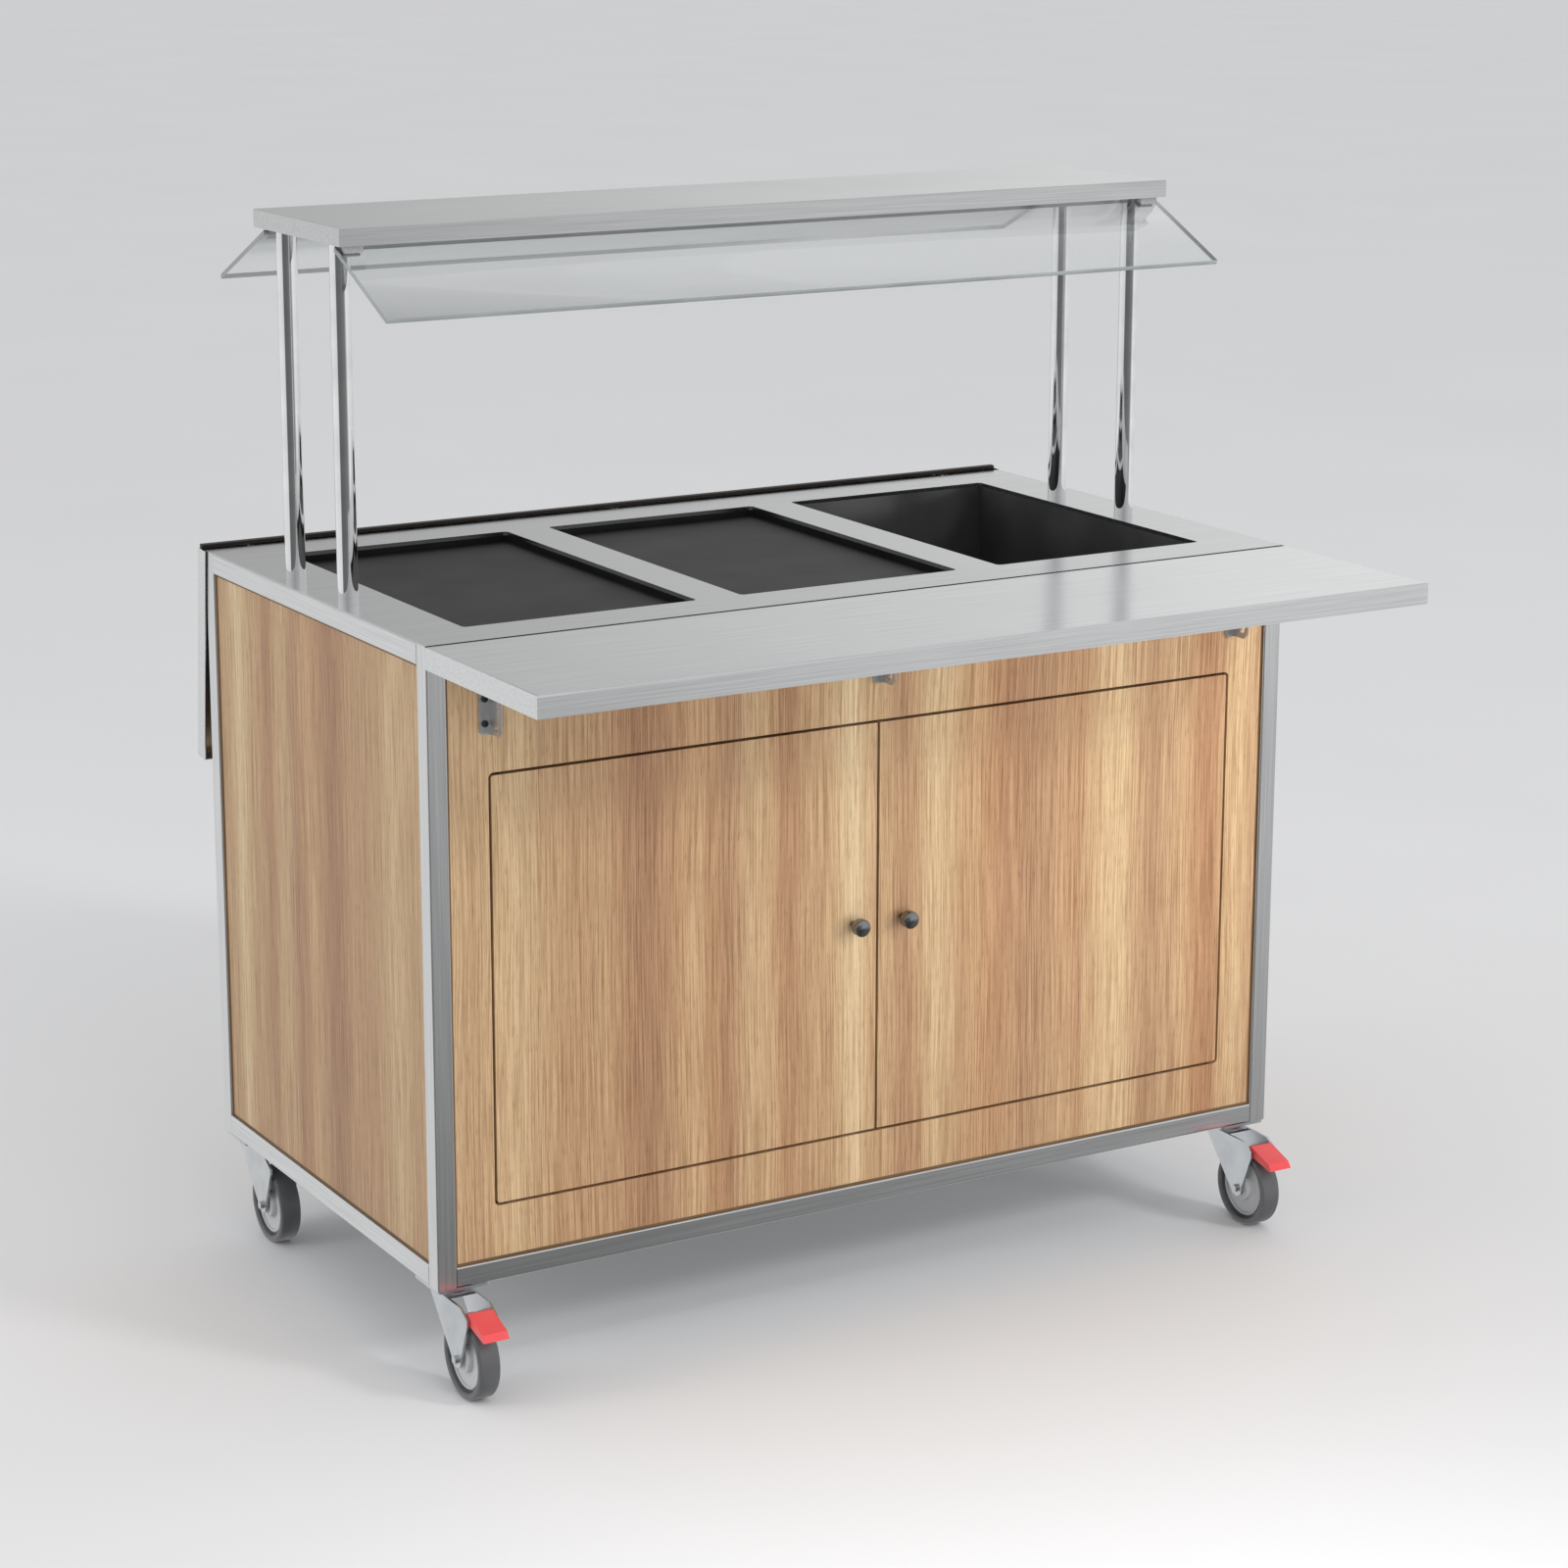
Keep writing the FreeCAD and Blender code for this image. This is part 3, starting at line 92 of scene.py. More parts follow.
def brushed_stainless(name, dark, light, roughness, across, along):
    """Stainless sheet, ground with a belt: soft wide reflections, drawn out across the
    fine lines of the grind. Across and along are the sizes of a line in millimetres,
    for x, y and z; real lines are finer than they are drawn, so that they show."""
    made, tree, shader = new_material(name)
    place = node(tree, "ShaderNodeTexCoord").outputs["Object"]
    scale = [1 / (size * MM) for size in across]
    lines = node(tree, "ShaderNodeMapping", {"Vector": place, "Scale": scale})
    grind = node(tree, "ShaderNodeTexNoise", {"Vector": lines.outputs[0], "Scale": 1.0, "Detail": 3.0})
    scale = [1 / (size * MM) for size in along]
    clouds = node(tree, "ShaderNodeMapping", {"Vector": place, "Scale": scale})
    wiped = node(tree, "ShaderNodeTexNoise", {"Vector": clouds.outputs[0], "Scale": 1.0, "Detail": 2.0})
    tone = node(
        tree, "ShaderNodeValToRGB", {"Fac": grind.outputs["Fac"]},
        stops=[(0.3, dark), (0.7, light)],
    )
    gloss = node(
        tree, "ShaderNodeMapRange",
        {"Value": wiped.outputs["Fac"], "To Min": roughness - 0.05, "To Max": roughness + 0.07},
    )
    relief = node(
        tree, "ShaderNodeBump",
        {"Height": grind.outputs["Fac"], "Strength": 0.06, "Distance": 0.05 * MM},
    )
    shade(
        tree, shader, Base_Color=tone.outputs["Color"], Roughness=gloss.outputs["Result"],
        Normal=relief.outputs["Normal"], Metallic=1.0,
    )
    return made


def bright_chrome(name, tone_dark, tone_light, roughness):
    """Polished or plated steel: near mirror, with a faint cloudy haze from wiping."""
    made, tree, shader = new_material(name)
    place = node(tree, "ShaderNodeTexCoord").outputs["Object"]
    haze = node(tree, "ShaderNodeTexNoise", {"Vector": place, "Scale": 1 / (40 * MM), "Detail": 3.0})
    tone = node(
        tree, "ShaderNodeValToRGB", {"Fac": haze.outputs["Fac"]},
        stops=[(0.3, tone_dark), (0.7, tone_light)],
    )
    gloss = node(
        tree, "ShaderNodeMapRange",
        {"Value": haze.outputs["Fac"], "To Min": roughness * 0.7, "To Max": roughness * 1.4},
    )
    shade(
        tree, shader, Base_Color=tone.outputs["Color"], Roughness=gloss.outputs["Result"],
        Metallic=1.0,
    )
    return made


def grain_laminate(name):
    """High-pressure laminate with a printed upright grain: broad soft bands of tan and
    brown, some of them rosy, long thin streaks and short dark pores, under a satin
    resin face. The bands, streaks and pores are in millimetres, wide by long."""
    made, tree, shader = new_material(name)
    place = node(tree, "ShaderNodeTexCoord").outputs["Object"]
    split = node(tree, "ShaderNodeSeparateXYZ", {"Vector": place})
    across = node(
        tree, "ShaderNodeMath", {0: split.outputs["X"], 1: split.outputs["Y"]}, operation="ADD"
    )
    flat = node(
        tree, "ShaderNodeCombineXYZ", {"X": across.outputs[0], "Y": split.outputs["Z"], "Z": 0.37}
    )
    sway = node(
        tree, "ShaderNodeTexNoise",
        {"Vector": flat.outputs[0], "Scale": 1 / (420 * MM), "Detail": 1.0},
    )
    drift = node(
        tree, "ShaderNodeMath", {0: sway.outputs["Fac"], 1: 14 * MM, 2: across.outputs[0]},
        operation="MULTIPLY_ADD",
    )
    layers = {}
    for depth, (layer, wide, long, detail) in enumerate((
        ("bands", 95, 5200, 1.5), ("blush", 130, 5200, 1.0), ("streaks", 7, 900, 4.0),
        ("lines", 1.9, 140, 3.0), ("pores", 1.5, 22, 2.0),
    )):
        grain = node(
            tree, "ShaderNodeCombineXYZ",
            {"X": drift.outputs[0], "Y": split.outputs["Z"], "Z": float(depth)},
        )
        size = node(
            tree, "ShaderNodeMapping",
            {"Vector": grain.outputs[0], "Scale": (1 / (wide * MM), 1 / (long * MM), 7.0)},
        )
        layers[layer] = node(
            tree, "ShaderNodeTexNoise",
            {"Vector": size.outputs[0], "Scale": 1.0, "Detail": detail, "Roughness": 0.55},
        ).outputs["Fac"]
    mixed = node(
        tree, "ShaderNodeMath", {0: layers["streaks"], 1: 0.26, 2: layers["bands"]},
        operation="MULTIPLY_ADD",
    )
    spread = node(
        tree, "ShaderNodeMapRange", {"Value": mixed.outputs[0], "From Min": 0.39, "From Max": 0.88}
    )
    figure = node(
        tree, "ShaderNodeValToRGB", {"Fac": spread.outputs["Result"]},
        stops=[
            (0.0, "#9b795a"), (1.0, "#d7c39e"), (0.22, "#a98767"), (0.42, "#b79774"),
            (0.58, "#c0a47e"), (0.78, "#cbb28c"),
        ],
    )
    rosy = node(
        tree, "ShaderNodeValToRGB", {"Fac": layers["blush"]},
        stops=[(0.42, "#ffffff"), (0.66, "#f0dfd8")],
    )
    tinted = node(
        tree, "ShaderNodeMixRGB",
        {"Fac": 1.0, "Color1": figure.outputs["Color"], "Color2": rosy.outputs["Color"]},
        blend_type="MULTIPLY",
    )
    strokes = node(
        tree, "ShaderNodeValToRGB", {"Fac": layers["lines"]},
        stops=[(0.36, "#b49c84"), (0.60, "#ffffff")],
    )
    lined = node(
        tree, "ShaderNodeMixRGB",
        {"Fac": 0.65, "Color1": tinted.outputs[0], "Color2": strokes.outputs["Color"]},
        blend_type="MULTIPLY",
    )
    dashes = node(
        tree, "ShaderNodeValToRGB", {"Fac": layers["pores"]},
        stops=[(0.28, "#a5886c"), (0.46, "#ffffff")],
    )
    colour = node(
        tree, "ShaderNodeMixRGB",
        {"Fac": 0.4, "Color1": lined.outputs[0], "Color2": dashes.outputs["Color"]},
        blend_type="MULTIPLY",
    )
    relief = node(
        tree, "ShaderNodeBump",
        {"Height": layers["lines"], "Strength": 0.08, "Distance": 0.1 * MM},
    )
    shade(
        tree, shader, Base_Color=colour.outputs[0], Roughness=0.46,
        Normal=relief.outputs["Normal"], IOR=1.45,
    )
    return made


def speckled(name, dark, light, roughness, grit, depth, specular=0.5):
    """A moulded, sprayed or rubber face: one tone with a fine grit that breaks up the
    gloss. Grit is its size in millimetres and depth its height."""
    made, tree, shader = new_material(name)
    place = node(tree, "ShaderNodeTexCoord").outputs["Object"]
    grains = node(tree, "ShaderNodeTexNoise", {"Vector": place, "Scale": 1 / (grit * MM), "Detail": 2.0})
    clouds = node(tree, "ShaderNodeTexNoise", {"Vector": place, "Scale": 1 / (90 * MM), "Detail": 2.0})
    mixed = node(
        tree, "ShaderNodeMath", {0: grains.outputs["Fac"], 1: 0.5, 2: clouds.outputs["Fac"]},
        operation="MULTIPLY_ADD",
    )
    tone = node(
        tree, "ShaderNodeValToRGB", {"Fac": mixed.outputs[0]}, stops=[(0.55, dark), (0.95, light)]
    )
    gloss = node(
        tree, "ShaderNodeMapRange",
        {"Value": clouds.outputs["Fac"], "To Min": roughness - 0.06, "To Max": roughness + 0.06},
    )
    relief = node(
        tree, "ShaderNodeBump",
        {"Height": grains.outputs["Fac"], "Strength": 0.3, "Distance": depth * MM},
    )
    shade(
        tree, shader, Base_Color=tone.outputs["Color"], Roughness=gloss.outputs["Result"],
        Normal=relief.outputs["Normal"], Specular_IOR_Level=specular,
    )
    return made


def clear_sheet(name):
    """Clear cast acrylic: what is behind shows through a little greyer, and both faces
    mirror the shelf's lip weakly, with a faint film of wiping marks in the gloss."""
    made, tree, shader = new_material(name)
    place = node(tree, "ShaderNodeTexCoord").outputs["Object"]
    film = node(tree, "ShaderNodeTexNoise", {"Vector": place, "Scale": 1 / (120 * MM), "Detail": 3.0})
    gloss = node(
        tree, "ShaderNodeMapRange", {"Value": film.outputs["Fac"], "To Min": 0.02, "To Max": 0.10}
    )
    shade(tree, shader, Base_Color=linear("#f2f3f4"), Roughness=gloss.outputs["Result"], Metallic=1.0)
    seen = node(tree, "ShaderNodeBsdfTransparent", {"Color": linear("#fbfcfc")})
    slant = node(tree, "ShaderNodeLayerWeight", {"Blend": 0.5}).outputs["Facing"]
    steep = node(tree, "ShaderNodeMath", {0: slant, 1: 5.0}, operation="POWER")
    sheen = node(
        tree, "ShaderNodeMath", {0: steep.outputs[0], 1: 0.9, 2: 0.055}, operation="MULTIPLY_ADD"
    )
    both = node(
        tree, "ShaderNodeMixShader",
        {"Fac": sheen.outputs[0], 1: seen.outputs[0], 2: shader.outputs[0]},
    )
    tree.links.new(both.outputs[0], tree.nodes["Material Output"].inputs["Surface"])
    return made


# Ground stainless. Its lines run along the sheets and long rails, up the posts and across
# the end rails, and reflections are drawn out over them. The worktop is a shade darker.
sheet_steel = brushed_stainless(
    "brushed_stainless_sheet", "#c9cacb", "#d9dadb", 0.17, (160, 2.5, 2.5), (260, 260, 260)
)
post_steel = brushed_stainless(
    "brushed_stainless_tube", "#c9cacb", "#d9dadb", 0.24, (2.5, 2.5, 160), (180, 180, 180)
)
end_steel = brushed_stainless(
    "brushed_stainless_end_tube", "#c9cacb", "#d9dadb", 0.24, (2.5, 160, 2.5), (180, 180, 180)
)
worktop_steel = brushed_stainless(
    "brushed_stainless_worktop", "#b7b8b9", "#c6c7c8", 0.17, (160, 2.5, 2.5), (260, 260, 260)
)
# Small stampings leave the tumbler with a dull, even face
bracket_steel = brushed_stainless(
    "tumbled_stainless_bracket", "#d3d4d5", "#e2e3e4", 0.55, (3, 3, 3), (60, 60, 60)
)
laminate = grain_laminate("walnut_grain_laminate")
# Plated steel: dark and glossy on the knobs, a mirror on the overshelf posts, grey with
# soft highlights on castors and struts, nearly black on the screws
black_nickel = bright_chrome("black_nickel_plate", "#7c7c7e", "#8e8f91", 0.10)
chrome = bright_chrome("polished_chrome", "#d9dadc", "#e8e9ea", 0.05)
zinc = bright_chrome("bright_zinc_plate", "#b9bcbf", "#cfd2d4", 0.30)
dark_steel = bright_chrome("blackened_screw_steel", "#4d4d50", "#66676a", 0.35)
# Strips that show only as brown and black lines beside the panels and the worktop: edging and rubber
# seals whose dark colour is partly their own and partly painted shade, standing in for the shadow in
# those gaps. The same rubber is on the compressor's grommets
edging_and_gap_shade = speckled("brown_edging_and_gap_shade", "#5e472f", "#6c543a", 0.55, 1.2, 0.1)
rubber = speckled("black_rubber_and_gap_shade", "#17130f", "#221d18", 0.6, 1.2, 0.1)
# Dark coatings in the wells, which shine only at a low angle
cold_enamel = speckled("charcoal_plate_coating", "#141415", "#1c1c1d", 0.36, 1.5, 0.05, 0.045)
liner_enamel = speckled("black_liner_coating", "#3a3a3b", "#4a4a4b", 0.40, 1.5, 0.05, 0.3)
# Clear guards, whose ground edges look greyer than their faces
acrylic = clear_sheet("clear_cast_acrylic")
acrylic_edge = speckled("ground_acrylic_edge", "#8b9092", "#9da2a3", 0.5, 0.6, 0.02)
# Condensing unit: warm soft copper, shiny black enamel, pale fins and dull zinced sheet
copper = bright_chrome("drawn_copper_tube", "#a8613f", "#c97d55", 0.28)
black_paint = speckled("black_machine_enamel", "#0f0f10", "#1b1b1c", 0.34, 2.0, 0.08)
fins = bright_chrome("aluminium_fin_sheet", "#b4b6b8", "#cfd1d2", 0.30)
galvanised = bright_chrome("galvanised_sheet", "#9fa3a6", "#bfc3c5", 0.38)
# Moulded plastics: an even colour under a soft sheen
black_plastic = speckled("black_moulded_plastic", "#141415", "#1e1e20", 0.40, 0.8, 0.05)
white_plastic = speckled("white_moulded_plastic", "#d3d2cc", "#dfded9", 0.40, 0.8, 0.05)
red_plastic = speckled("red_moulded_plastic", "#d84648", "#e05557", 0.38, 0.9, 0.05)
# Cut foam: pale yellow and dull, with open cells
foam = speckled("polyurethane_foam", "#c9b376", "#e0cf99", 0.85, 3.0, 0.6)
# Castor wheels: grey rubber with a soft sheen, on a paler moulded centre
tyre_rubber = speckled("grey_tyre_rubber", "#4c4d50", "#5a5b5e", 0.42, 1.0, 0.08)
wheel_nylon = speckled("grey_wheel_nylon", "#b3b4b6", "#c1c2c4", 0.45, 1.0, 0.05)

finishes = {
    sheet_steel: ["front_tray", "rear_tray", "frame_long_rails", "vent_grille"],
    worktop_steel: ["worktop", "overshelf"],
    post_steel: ["frame_posts", "drain"],
    bracket_steel: ["tray_brackets", "guard_clamps"],
    end_steel: ["frame_end_rails"],
    laminate: [
        "front_surround", "left_door", "right_door", "left_end_panel", "right_end_panel", "rear_panel",
    ],
    chrome: ["overshelf_posts"],
    black_nickel: ["left_knob", "right_knob"],
    zinc: [
        "post_nuts", "caster_plates", "front_struts", "rear_struts", "fork_front_left",
        "fork_front_right", "fork_rear_left", "fork_rear_right",
    ],
    dark_steel: ["bracket_screws", "tray_pivot_bolts", "door_pivot_pins"],
    edging_and_gap_shade: ["panel_edging"],
    rubber: ["front_tray_seal", "rear_tray_seal", "compressor_grommets"],
    cold_enamel: ["cold_plates"],
    liner_enamel: ["deep_well"],
    acrylic: ["front_guard", "rear_guard"],
    copper: ["refrigerant_tube"],
    black_paint: ["compressor", "fan_housing"],
    fins: ["condenser"],
    galvanised: ["cupboard_floor", "unit_base"],
    black_plastic: ["control_box", "thermostat_dial", "rocker_switch", "cable_gland", "fan_rotor"],
    white_plastic: ["door_catches"],
    red_plastic: ["pedal_front_left", "pedal_front_right", "drain_lever"],
    foam: ["well_foam"],
}
for finish, names in finishes.items():
    for name in names:
        nodes[name].material_slots[0].material = finish


# Modelling

def deselect():
    bpy.ops.object.select_all(action="DESELECT")


def pick_faces(piece, wanted):
    """In edit mode, selects only the faces that a test picks."""
    bpy.ops.object.mode_set(mode="OBJECT")
    mesh = piece.data
    for part in (mesh.vertices, mesh.edges, mesh.polygons):
        part.foreach_set("select", [False] * len(part))
    for face in mesh.polygons:
        face.select = wanted(face)
    bpy.ops.object.mode_set(mode="EDIT")


def turned_piece(name, centre, radius, width, steps, bevel, axis="X"):
    """A round piece, as from a lathe: a disc whose two ends are inset and pushed in
    turn. Each step is (inset, push outwards), in millimetres."""
    deselect()
    turn = {"X": (0, math.pi / 2, 0), "Y": (math.pi / 2, 0, 0)}[axis]
    bpy.ops.mesh.primitive_cylinder_add(
        vertices=64, radius=radius, depth=width, location=centre, rotation=turn
    )
    piece = bpy.context.object
    piece.name = name
    bpy.ops.object.transform_apply(location=True, rotation=True, scale=True)
    along = Vector((1, 0, 0)) if axis == "X" else Vector((0, 1, 0))
    for side in (-1, 1):
        facing = along * side
        for inset, push in steps:
            pick_end_face(piece, facing)
            bpy.ops.mesh.inset(thickness=inset * MM)
            if push:
                bpy.ops.mesh.extrude_region_move(
                    TRANSFORM_OT_translate={"value": facing * push * MM}
                )
            bpy.ops.object.mode_set(mode="OBJECT")
    soften(piece, bevel)
    return piece


def pick_end_face(piece, facing):
    """Selects the many-sided face that looks one way, which is the one still to shape."""
    pick_faces(
        piece, lambda face: len(face.vertices) > 8 and face.normal.dot(facing) > 0.99
    )


def soften(piece, width):
    """Rounds the sharp edges and smooths the shading."""
    rounding = piece.modifiers.new("rounding", "BEVEL")
    rounding.width = width
    rounding.segments = 3
    rounding.limit_method = "ANGLE"
    rounding.harden_normals = True
    bpy.context.view_layer.objects.active = piece
    bpy.ops.object.modifier_apply(modifier="rounding")
    deselect()
    piece.select_set(True)
    bpy.context.view_layer.objects.active = piece
    bpy.ops.object.shade_smooth_by_angle(angle=math.radians(35))


def finish_piece(piece, body, material):
    piece.data.materials.clear()
    piece.data.materials.append(material)
    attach(piece, body)


# Castor wheels: a rubber tyre on a moulded centre with a rim, a groove, a web and a hub
tyre_width = 27 * MM
tyre_wall = 9
tyre_recess = 7
centre_room = 0.3
centre_width = 13.4 * MM
centre_steps = [(3, 2.5), (3, -2.5), (16, 0), (1.5, 7)]
for corner in ("front_left", "front_right", "rear_left", "rear_right"):
    low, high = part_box("wheel_" + corner)
    centre = (low + high) / 2
    radius = (high.z - low.z) / 2
    tyre = turned_piece(
        "tyre_" + corner, centre, radius, tyre_width, [(tyre_wall, -tyre_recess)], 3 * MM
    )
    disc = turned_piece(
        "wheel_centre_" + corner, centre, radius - (tyre_wall + centre_room) * MM, centre_width,
        centre_steps, 0.6 * MM,
    )
    finish_piece(tyre, "wheel_" + corner, tyre_rubber)
    finish_piece(disc, "wheel_" + corner, wheel_nylon)
    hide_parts("wheel_" + corner)


# Door knobs: a turned mushroom head on a stem
head = 11 * MM
head_depth = 11 * MM
head_rounding = 1.6 * MM
stem = 4.5 * MM
back = Vector((0, 1, 0))
for side in ("left", "right"):
    low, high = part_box(side + "_knob")
    middle = (low + high) / 2
    deselect()
    bpy.ops.mesh.primitive_cylinder_add(
        vertices=48, radius=head, depth=head_depth,
        location=(middle.x, low.y + head_depth / 2, middle.z), rotation=(math.pi / 2, 0, 0),
    )
    knob = bpy.context.object
    knob.name = side + "_turned_knob"
    bpy.ops.object.transform_apply(location=True, rotation=True, scale=True)
    pick_end_face(knob, back)
    bpy.ops.mesh.inset(thickness=head - stem)
    stem_length = high.y - low.y - head_depth
    bpy.ops.mesh.extrude_region_move(TRANSFORM_OT_translate={"value": back * stem_length})
    bpy.ops.object.mode_set(mode="OBJECT")
    soften(knob, head_rounding)
    finish_piece(knob, side + "_door", black_nickel)
    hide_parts(side + "_knob")


# Guards: clear sheets whose ground edges look darker than their faces
guard_slope = math.radians(25.6)
guard_sheet = 6 * MM
for name, lean in (("front_guard", guard_slope), ("rear_guard", -guard_slope)):
    low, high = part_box(name)
    span = high - low
    width = (span.z - guard_sheet * math.cos(guard_slope)) / math.sin(guard_slope)
    deselect()
    bpy.ops.mesh.primitive_cube_add(
        size=1, location=(low + high) / 2, rotation=(lean, 0, 0), scale=(span.x, width, guard_sheet)
    )
    guard = bpy.context.object
    guard.name = name + "_sheet"
    bpy.ops.object.transform_apply(location=True, rotation=True, scale=True)
    soften(guard, 0.5 * MM)
    finish_piece(guard, "cabinet", acrylic)
    guard.data.materials.append(acrylic_edge)
    across = Vector((0, -math.sin(lean), math.cos(lean)))
    pick_faces(guard, lambda face: abs(face.normal.dot(across)) < 0.9)
    guard.active_material_index = 1
    bpy.ops.object.material_slot_assign()
    bpy.ops.object.mode_set(mode="OBJECT")
    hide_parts(name)


def joined_copies(name, first, places, body, material):
    """One piece made of copies of a modelled one, each set at a place and turned about X."""
    copies = []
    for place, turn in places:
        copy = first.copy()
        copy.data = first.data.copy()
        copy.location = place
        copy.rotation_euler = (turn, 0, 0)
        bpy.context.scene.collection.objects.link(copy)
        copies.append(copy)
    bpy.data.objects.remove(first)
    deselect()
    for copy in copies:
        copy.select_set(True)
    bpy.context.view_layer.objects.active = copies[0]
    bpy.ops.object.join()
    bpy.ops.object.transform_apply(location=True, rotation=True, scale=True)
    whole = bpy.context.object
    whole.name = name
    finish_piece(whole, body, material)


# Printed scale round the thermostat's dial: eleven strokes over its three quarter turns
low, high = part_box("thermostat_dial")
middle = (low + high) / 2
stroke_reach = 23.5 * MM
stroke_size = (0.4 * MM, 1.0 * MM, 4.0 * MM)
strokes = 11
dial_travel = 270
deselect()
bpy.ops.mesh.primitive_cube_add(size=1, scale=stroke_size)
stroke = bpy.context.object
bpy.ops.object.transform_apply(location=True, rotation=True, scale=True)
soften(stroke, 0.12 * MM)
stroke_places = []
for i in range(strokes):
    turn = math.radians(dial_travel * i / (strokes - 1))
    aside = -stroke_reach * math.sin(turn)
    up = stroke_reach * math.cos(turn)
    stroke_places.append(((low.x, middle.y + aside, middle.z + up), turn))
joined_copies("dial_scale", stroke, stroke_places, "cabinet", white_plastic)


# Louvres behind the slots of the vent: slanted blades with a lip folded down in front
low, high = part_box("vent_grille")
vent_frame = 12 * MM
blade_depth = 11 * MM
blade_sheet = 0.8 * MM
blade_lip = (0, 1.5 * MM, -2.5 * MM)
blade_slant = math.radians(-35)
slots = 9
pitch = (high.z - low.z - 4 * vent_frame) / slots
deselect()
bpy.ops.mesh.primitive_cube_add(
    size=1, scale=(high.x - low.x - 3 * vent_frame, blade_depth, blade_sheet)
)
blade = bpy.context.object
bpy.ops.object.transform_apply(location=True, rotation=True, scale=True)
pick_faces(blade, lambda face: face.normal.y > 0.9)
bpy.ops.mesh.extrude_region_move(TRANSFORM_OT_translate={"value": blade_lip})
bpy.ops.object.mode_set(mode="OBJECT")
soften(blade, 0.2 * MM)
blade_y = low.y - 8 * MM
blade_low = low.z + 2 * vent_frame + pitch / 2
blade_places = [
    (((low.x + high.x) / 2, blade_y, blade_low + i * pitch), blade_slant) for i in range(slots)
]
joined_copies("vent_louvres", blade, blade_places, "cabinet", galvanised)


# Floor, light and camera

deselect()
bpy.ops.mesh.primitive_plane_add(size=160)
floor = bpy.context.object
floor.name = "floor"
paper, tree, shader = new_material("pale_studio_floor")
place = node(tree, "ShaderNodeTexCoord").outputs["Object"]
mottle = node(tree, "ShaderNodeTexNoise", {"Vector": place, "Scale": 1.2, "Detail": 2.0})
tone = node(
    tree, "ShaderNodeValToRGB", {"Fac": mottle.outputs["Fac"]},
    stops=[(0.2, "#dededf"), (0.8, "#e1e1e2")],
)
shade(tree, shader, Base_Color=tone.outputs["Color"], Roughness=0.85)
floor.data.materials.append(paper)
floor.visible_glossy = False


def bearings(stops):
    """Stops of a ramp round the horizon: degrees from +X, and a colour."""
    return [((degrees + 180) / 360, colour) for degrees, colour in stops]


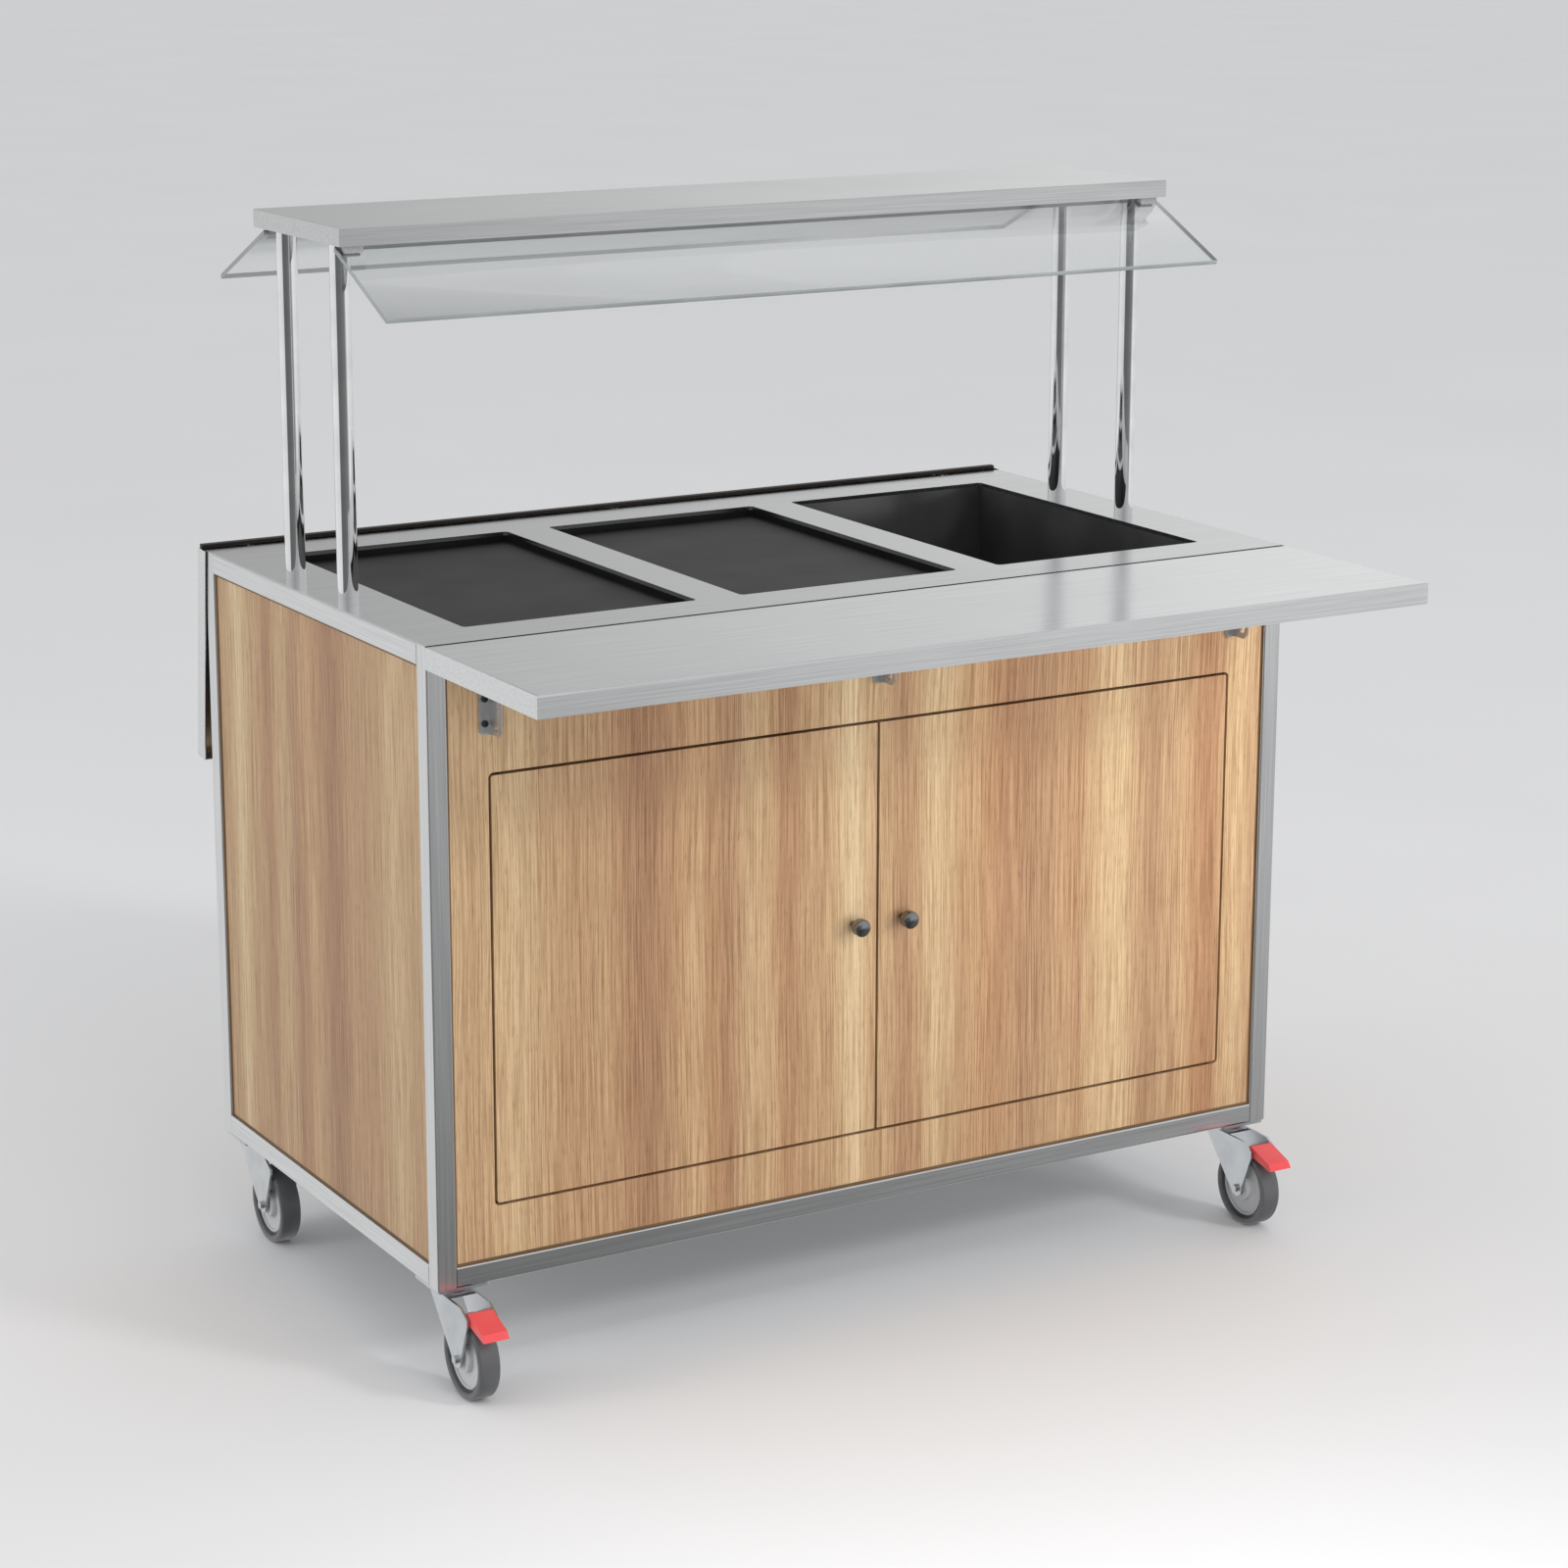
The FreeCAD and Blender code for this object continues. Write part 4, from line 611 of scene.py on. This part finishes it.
def studio_surround():
    """A bright studio that, below eye level, is greyer in front and towards the camera:
    the polished posts mirror that as a dark band, and the frame's front as a dark foot."""
    world = bpy.data.worlds.new("studio")
    world.use_nodes = True
    tree = world.node_tree
    ray = node(tree, "ShaderNodeTexCoord").outputs["Generated"]
    split = node(tree, "ShaderNodeSeparateXYZ", {"Vector": ray})
    bearing = node(
        tree, "ShaderNodeMath", {0: split.outputs["Y"], 1: split.outputs["X"]}, operation="ARCTAN2"
    )
    turn = node(
        tree, "ShaderNodeMapRange",
        {"Value": bearing.outputs[0], "From Min": -math.pi, "From Max": math.pi},
    ).outputs["Result"]
    # From the floor up: tones round the studio, and the elevations between which each
    # one gives way to the next
    rounds = [
        [
            (-180, "#e0e0e0"), (180, "#e0e0e0"), (-154, "#a4a4a4"), (-122, "#8c8c8c"),
            (-70, "#666666"), (-48, "#8a8a8a"), (0, "#b8b8b8"), (118, "#f4f4f4"),
        ],
        [
            (-180, "#f4f4f4"), (180, "#f4f4f4"), (-168, "#efefef"), (-160, "#6c6c6c"),
            (-122, "#727272"), (-84, "#868686"), (-72, "#acacac"), (-62, "#f8f8f8"),
            (-54, "#ffffff"), (-30, "#f4f4f4"), (0, "#f1f1f1"), (95, "#d6d6d6"), (118, "#ffffff"),
        ],
        [
            (-180, "#f4f4f4"), (180, "#f4f4f4"), (-122, "#c8c8c8"), (-54, "#f4f4f4"),
            (51, "#ffffff"), (60, "#e0e0e0"), (67, "#c6c6c6"), (95, "#d6d6d6"), (118, "#ffffff"),
        ],
        [(0, "#eeeff0"), (180, "#eeeff0")],
    ]
    heights = [(-22, -11), (-4, 3), (18, 45)]
    ramps = [
        node(tree, "ShaderNodeValToRGB", {"Fac": turn}, stops=bearings(stops)).outputs["Color"]
        for stops in rounds
    ]
    surround = ramps[0]
    for (start, end), above in zip(heights, ramps[1:]):
        share = node(
            tree, "ShaderNodeMapRange",
            {
                "Value": split.outputs["Z"], "From Min": math.sin(math.radians(start)),
                "From Max": math.sin(math.radians(end)),
            },
        )
        surround = node(
            tree, "ShaderNodeMixRGB",
            {"Fac": share.outputs["Result"], "Color1": surround, "Color2": above},
        ).outputs[0]
    backdrop = tree.nodes["Background"]
    tree.links.new(surround, backdrop.inputs["Color"])
    backdrop.inputs["Strength"].default_value = 0.95
    return world


def soft_light(name, kind, place, target, power, **settings):
    """A soft lamp that lights but isn't mirrored."""
    lamp = bpy.data.lights.new(name, kind)
    lamp.energy = power
    for setting, value in settings.items():
        setattr(lamp, setting, value)
    holder = bpy.data.objects.new(name, lamp)
    bpy.context.scene.collection.objects.link(holder)
    holder.location = place
    holder.rotation_euler = (Vector(target) - Vector(place)).to_track_quat("-Z", "Y").to_euler()
    holder.visible_glossy = False


bpy.context.scene.world = studio_surround()
soft_light("key", "AREA", (4.0, -7.0, 5.5), (0.2, 0.0, 0.6), 215, shape="DISK", size=1.8)
soft_light(
    "accent", "SPOT", (3.0, -4.4, 1.3), (0.6, -0.2, 0.72), 760,
    spot_size=math.radians(16), spot_blend=1.0, shadow_soft_size=0.35,
)
soft_light(
    "floor_pool", "SPOT", (-0.5, -2.9, 3.6), (-0.45, -1.5, 0.0), 320,
    spot_size=math.radians(34), spot_blend=1.0, shadow_soft_size=0.5,
)
soft_light("side_fill", "AREA", (-4.0, 0.6, 1.5), (-0.6, 0.1, 0.5), 30, shape="DISK", size=1.6)
soft_light("low_fill", "AREA", (-0.2, -3.4, 0.5), (0.0, 0.2, 0.1), 44, shape="DISK", size=2.4)

eye = bpy.data.cameras.new("photo_view")
eye.lens = 86.8
eye.sensor_width = 36.0
eye.shift_x = 0.0217
eye.shift_y = -0.0543
eye.clip_end = 300
camera = bpy.data.objects.new("photo_view", eye)
bpy.context.scene.collection.objects.link(camera)
camera.location = (-2.343, -3.958, 1.807)
camera.rotation_euler = (math.radians(76.79), 0, math.radians(-29.95))
bpy.context.scene.camera = camera
bpy.context.scene.view_settings.view_transform = "Standard"
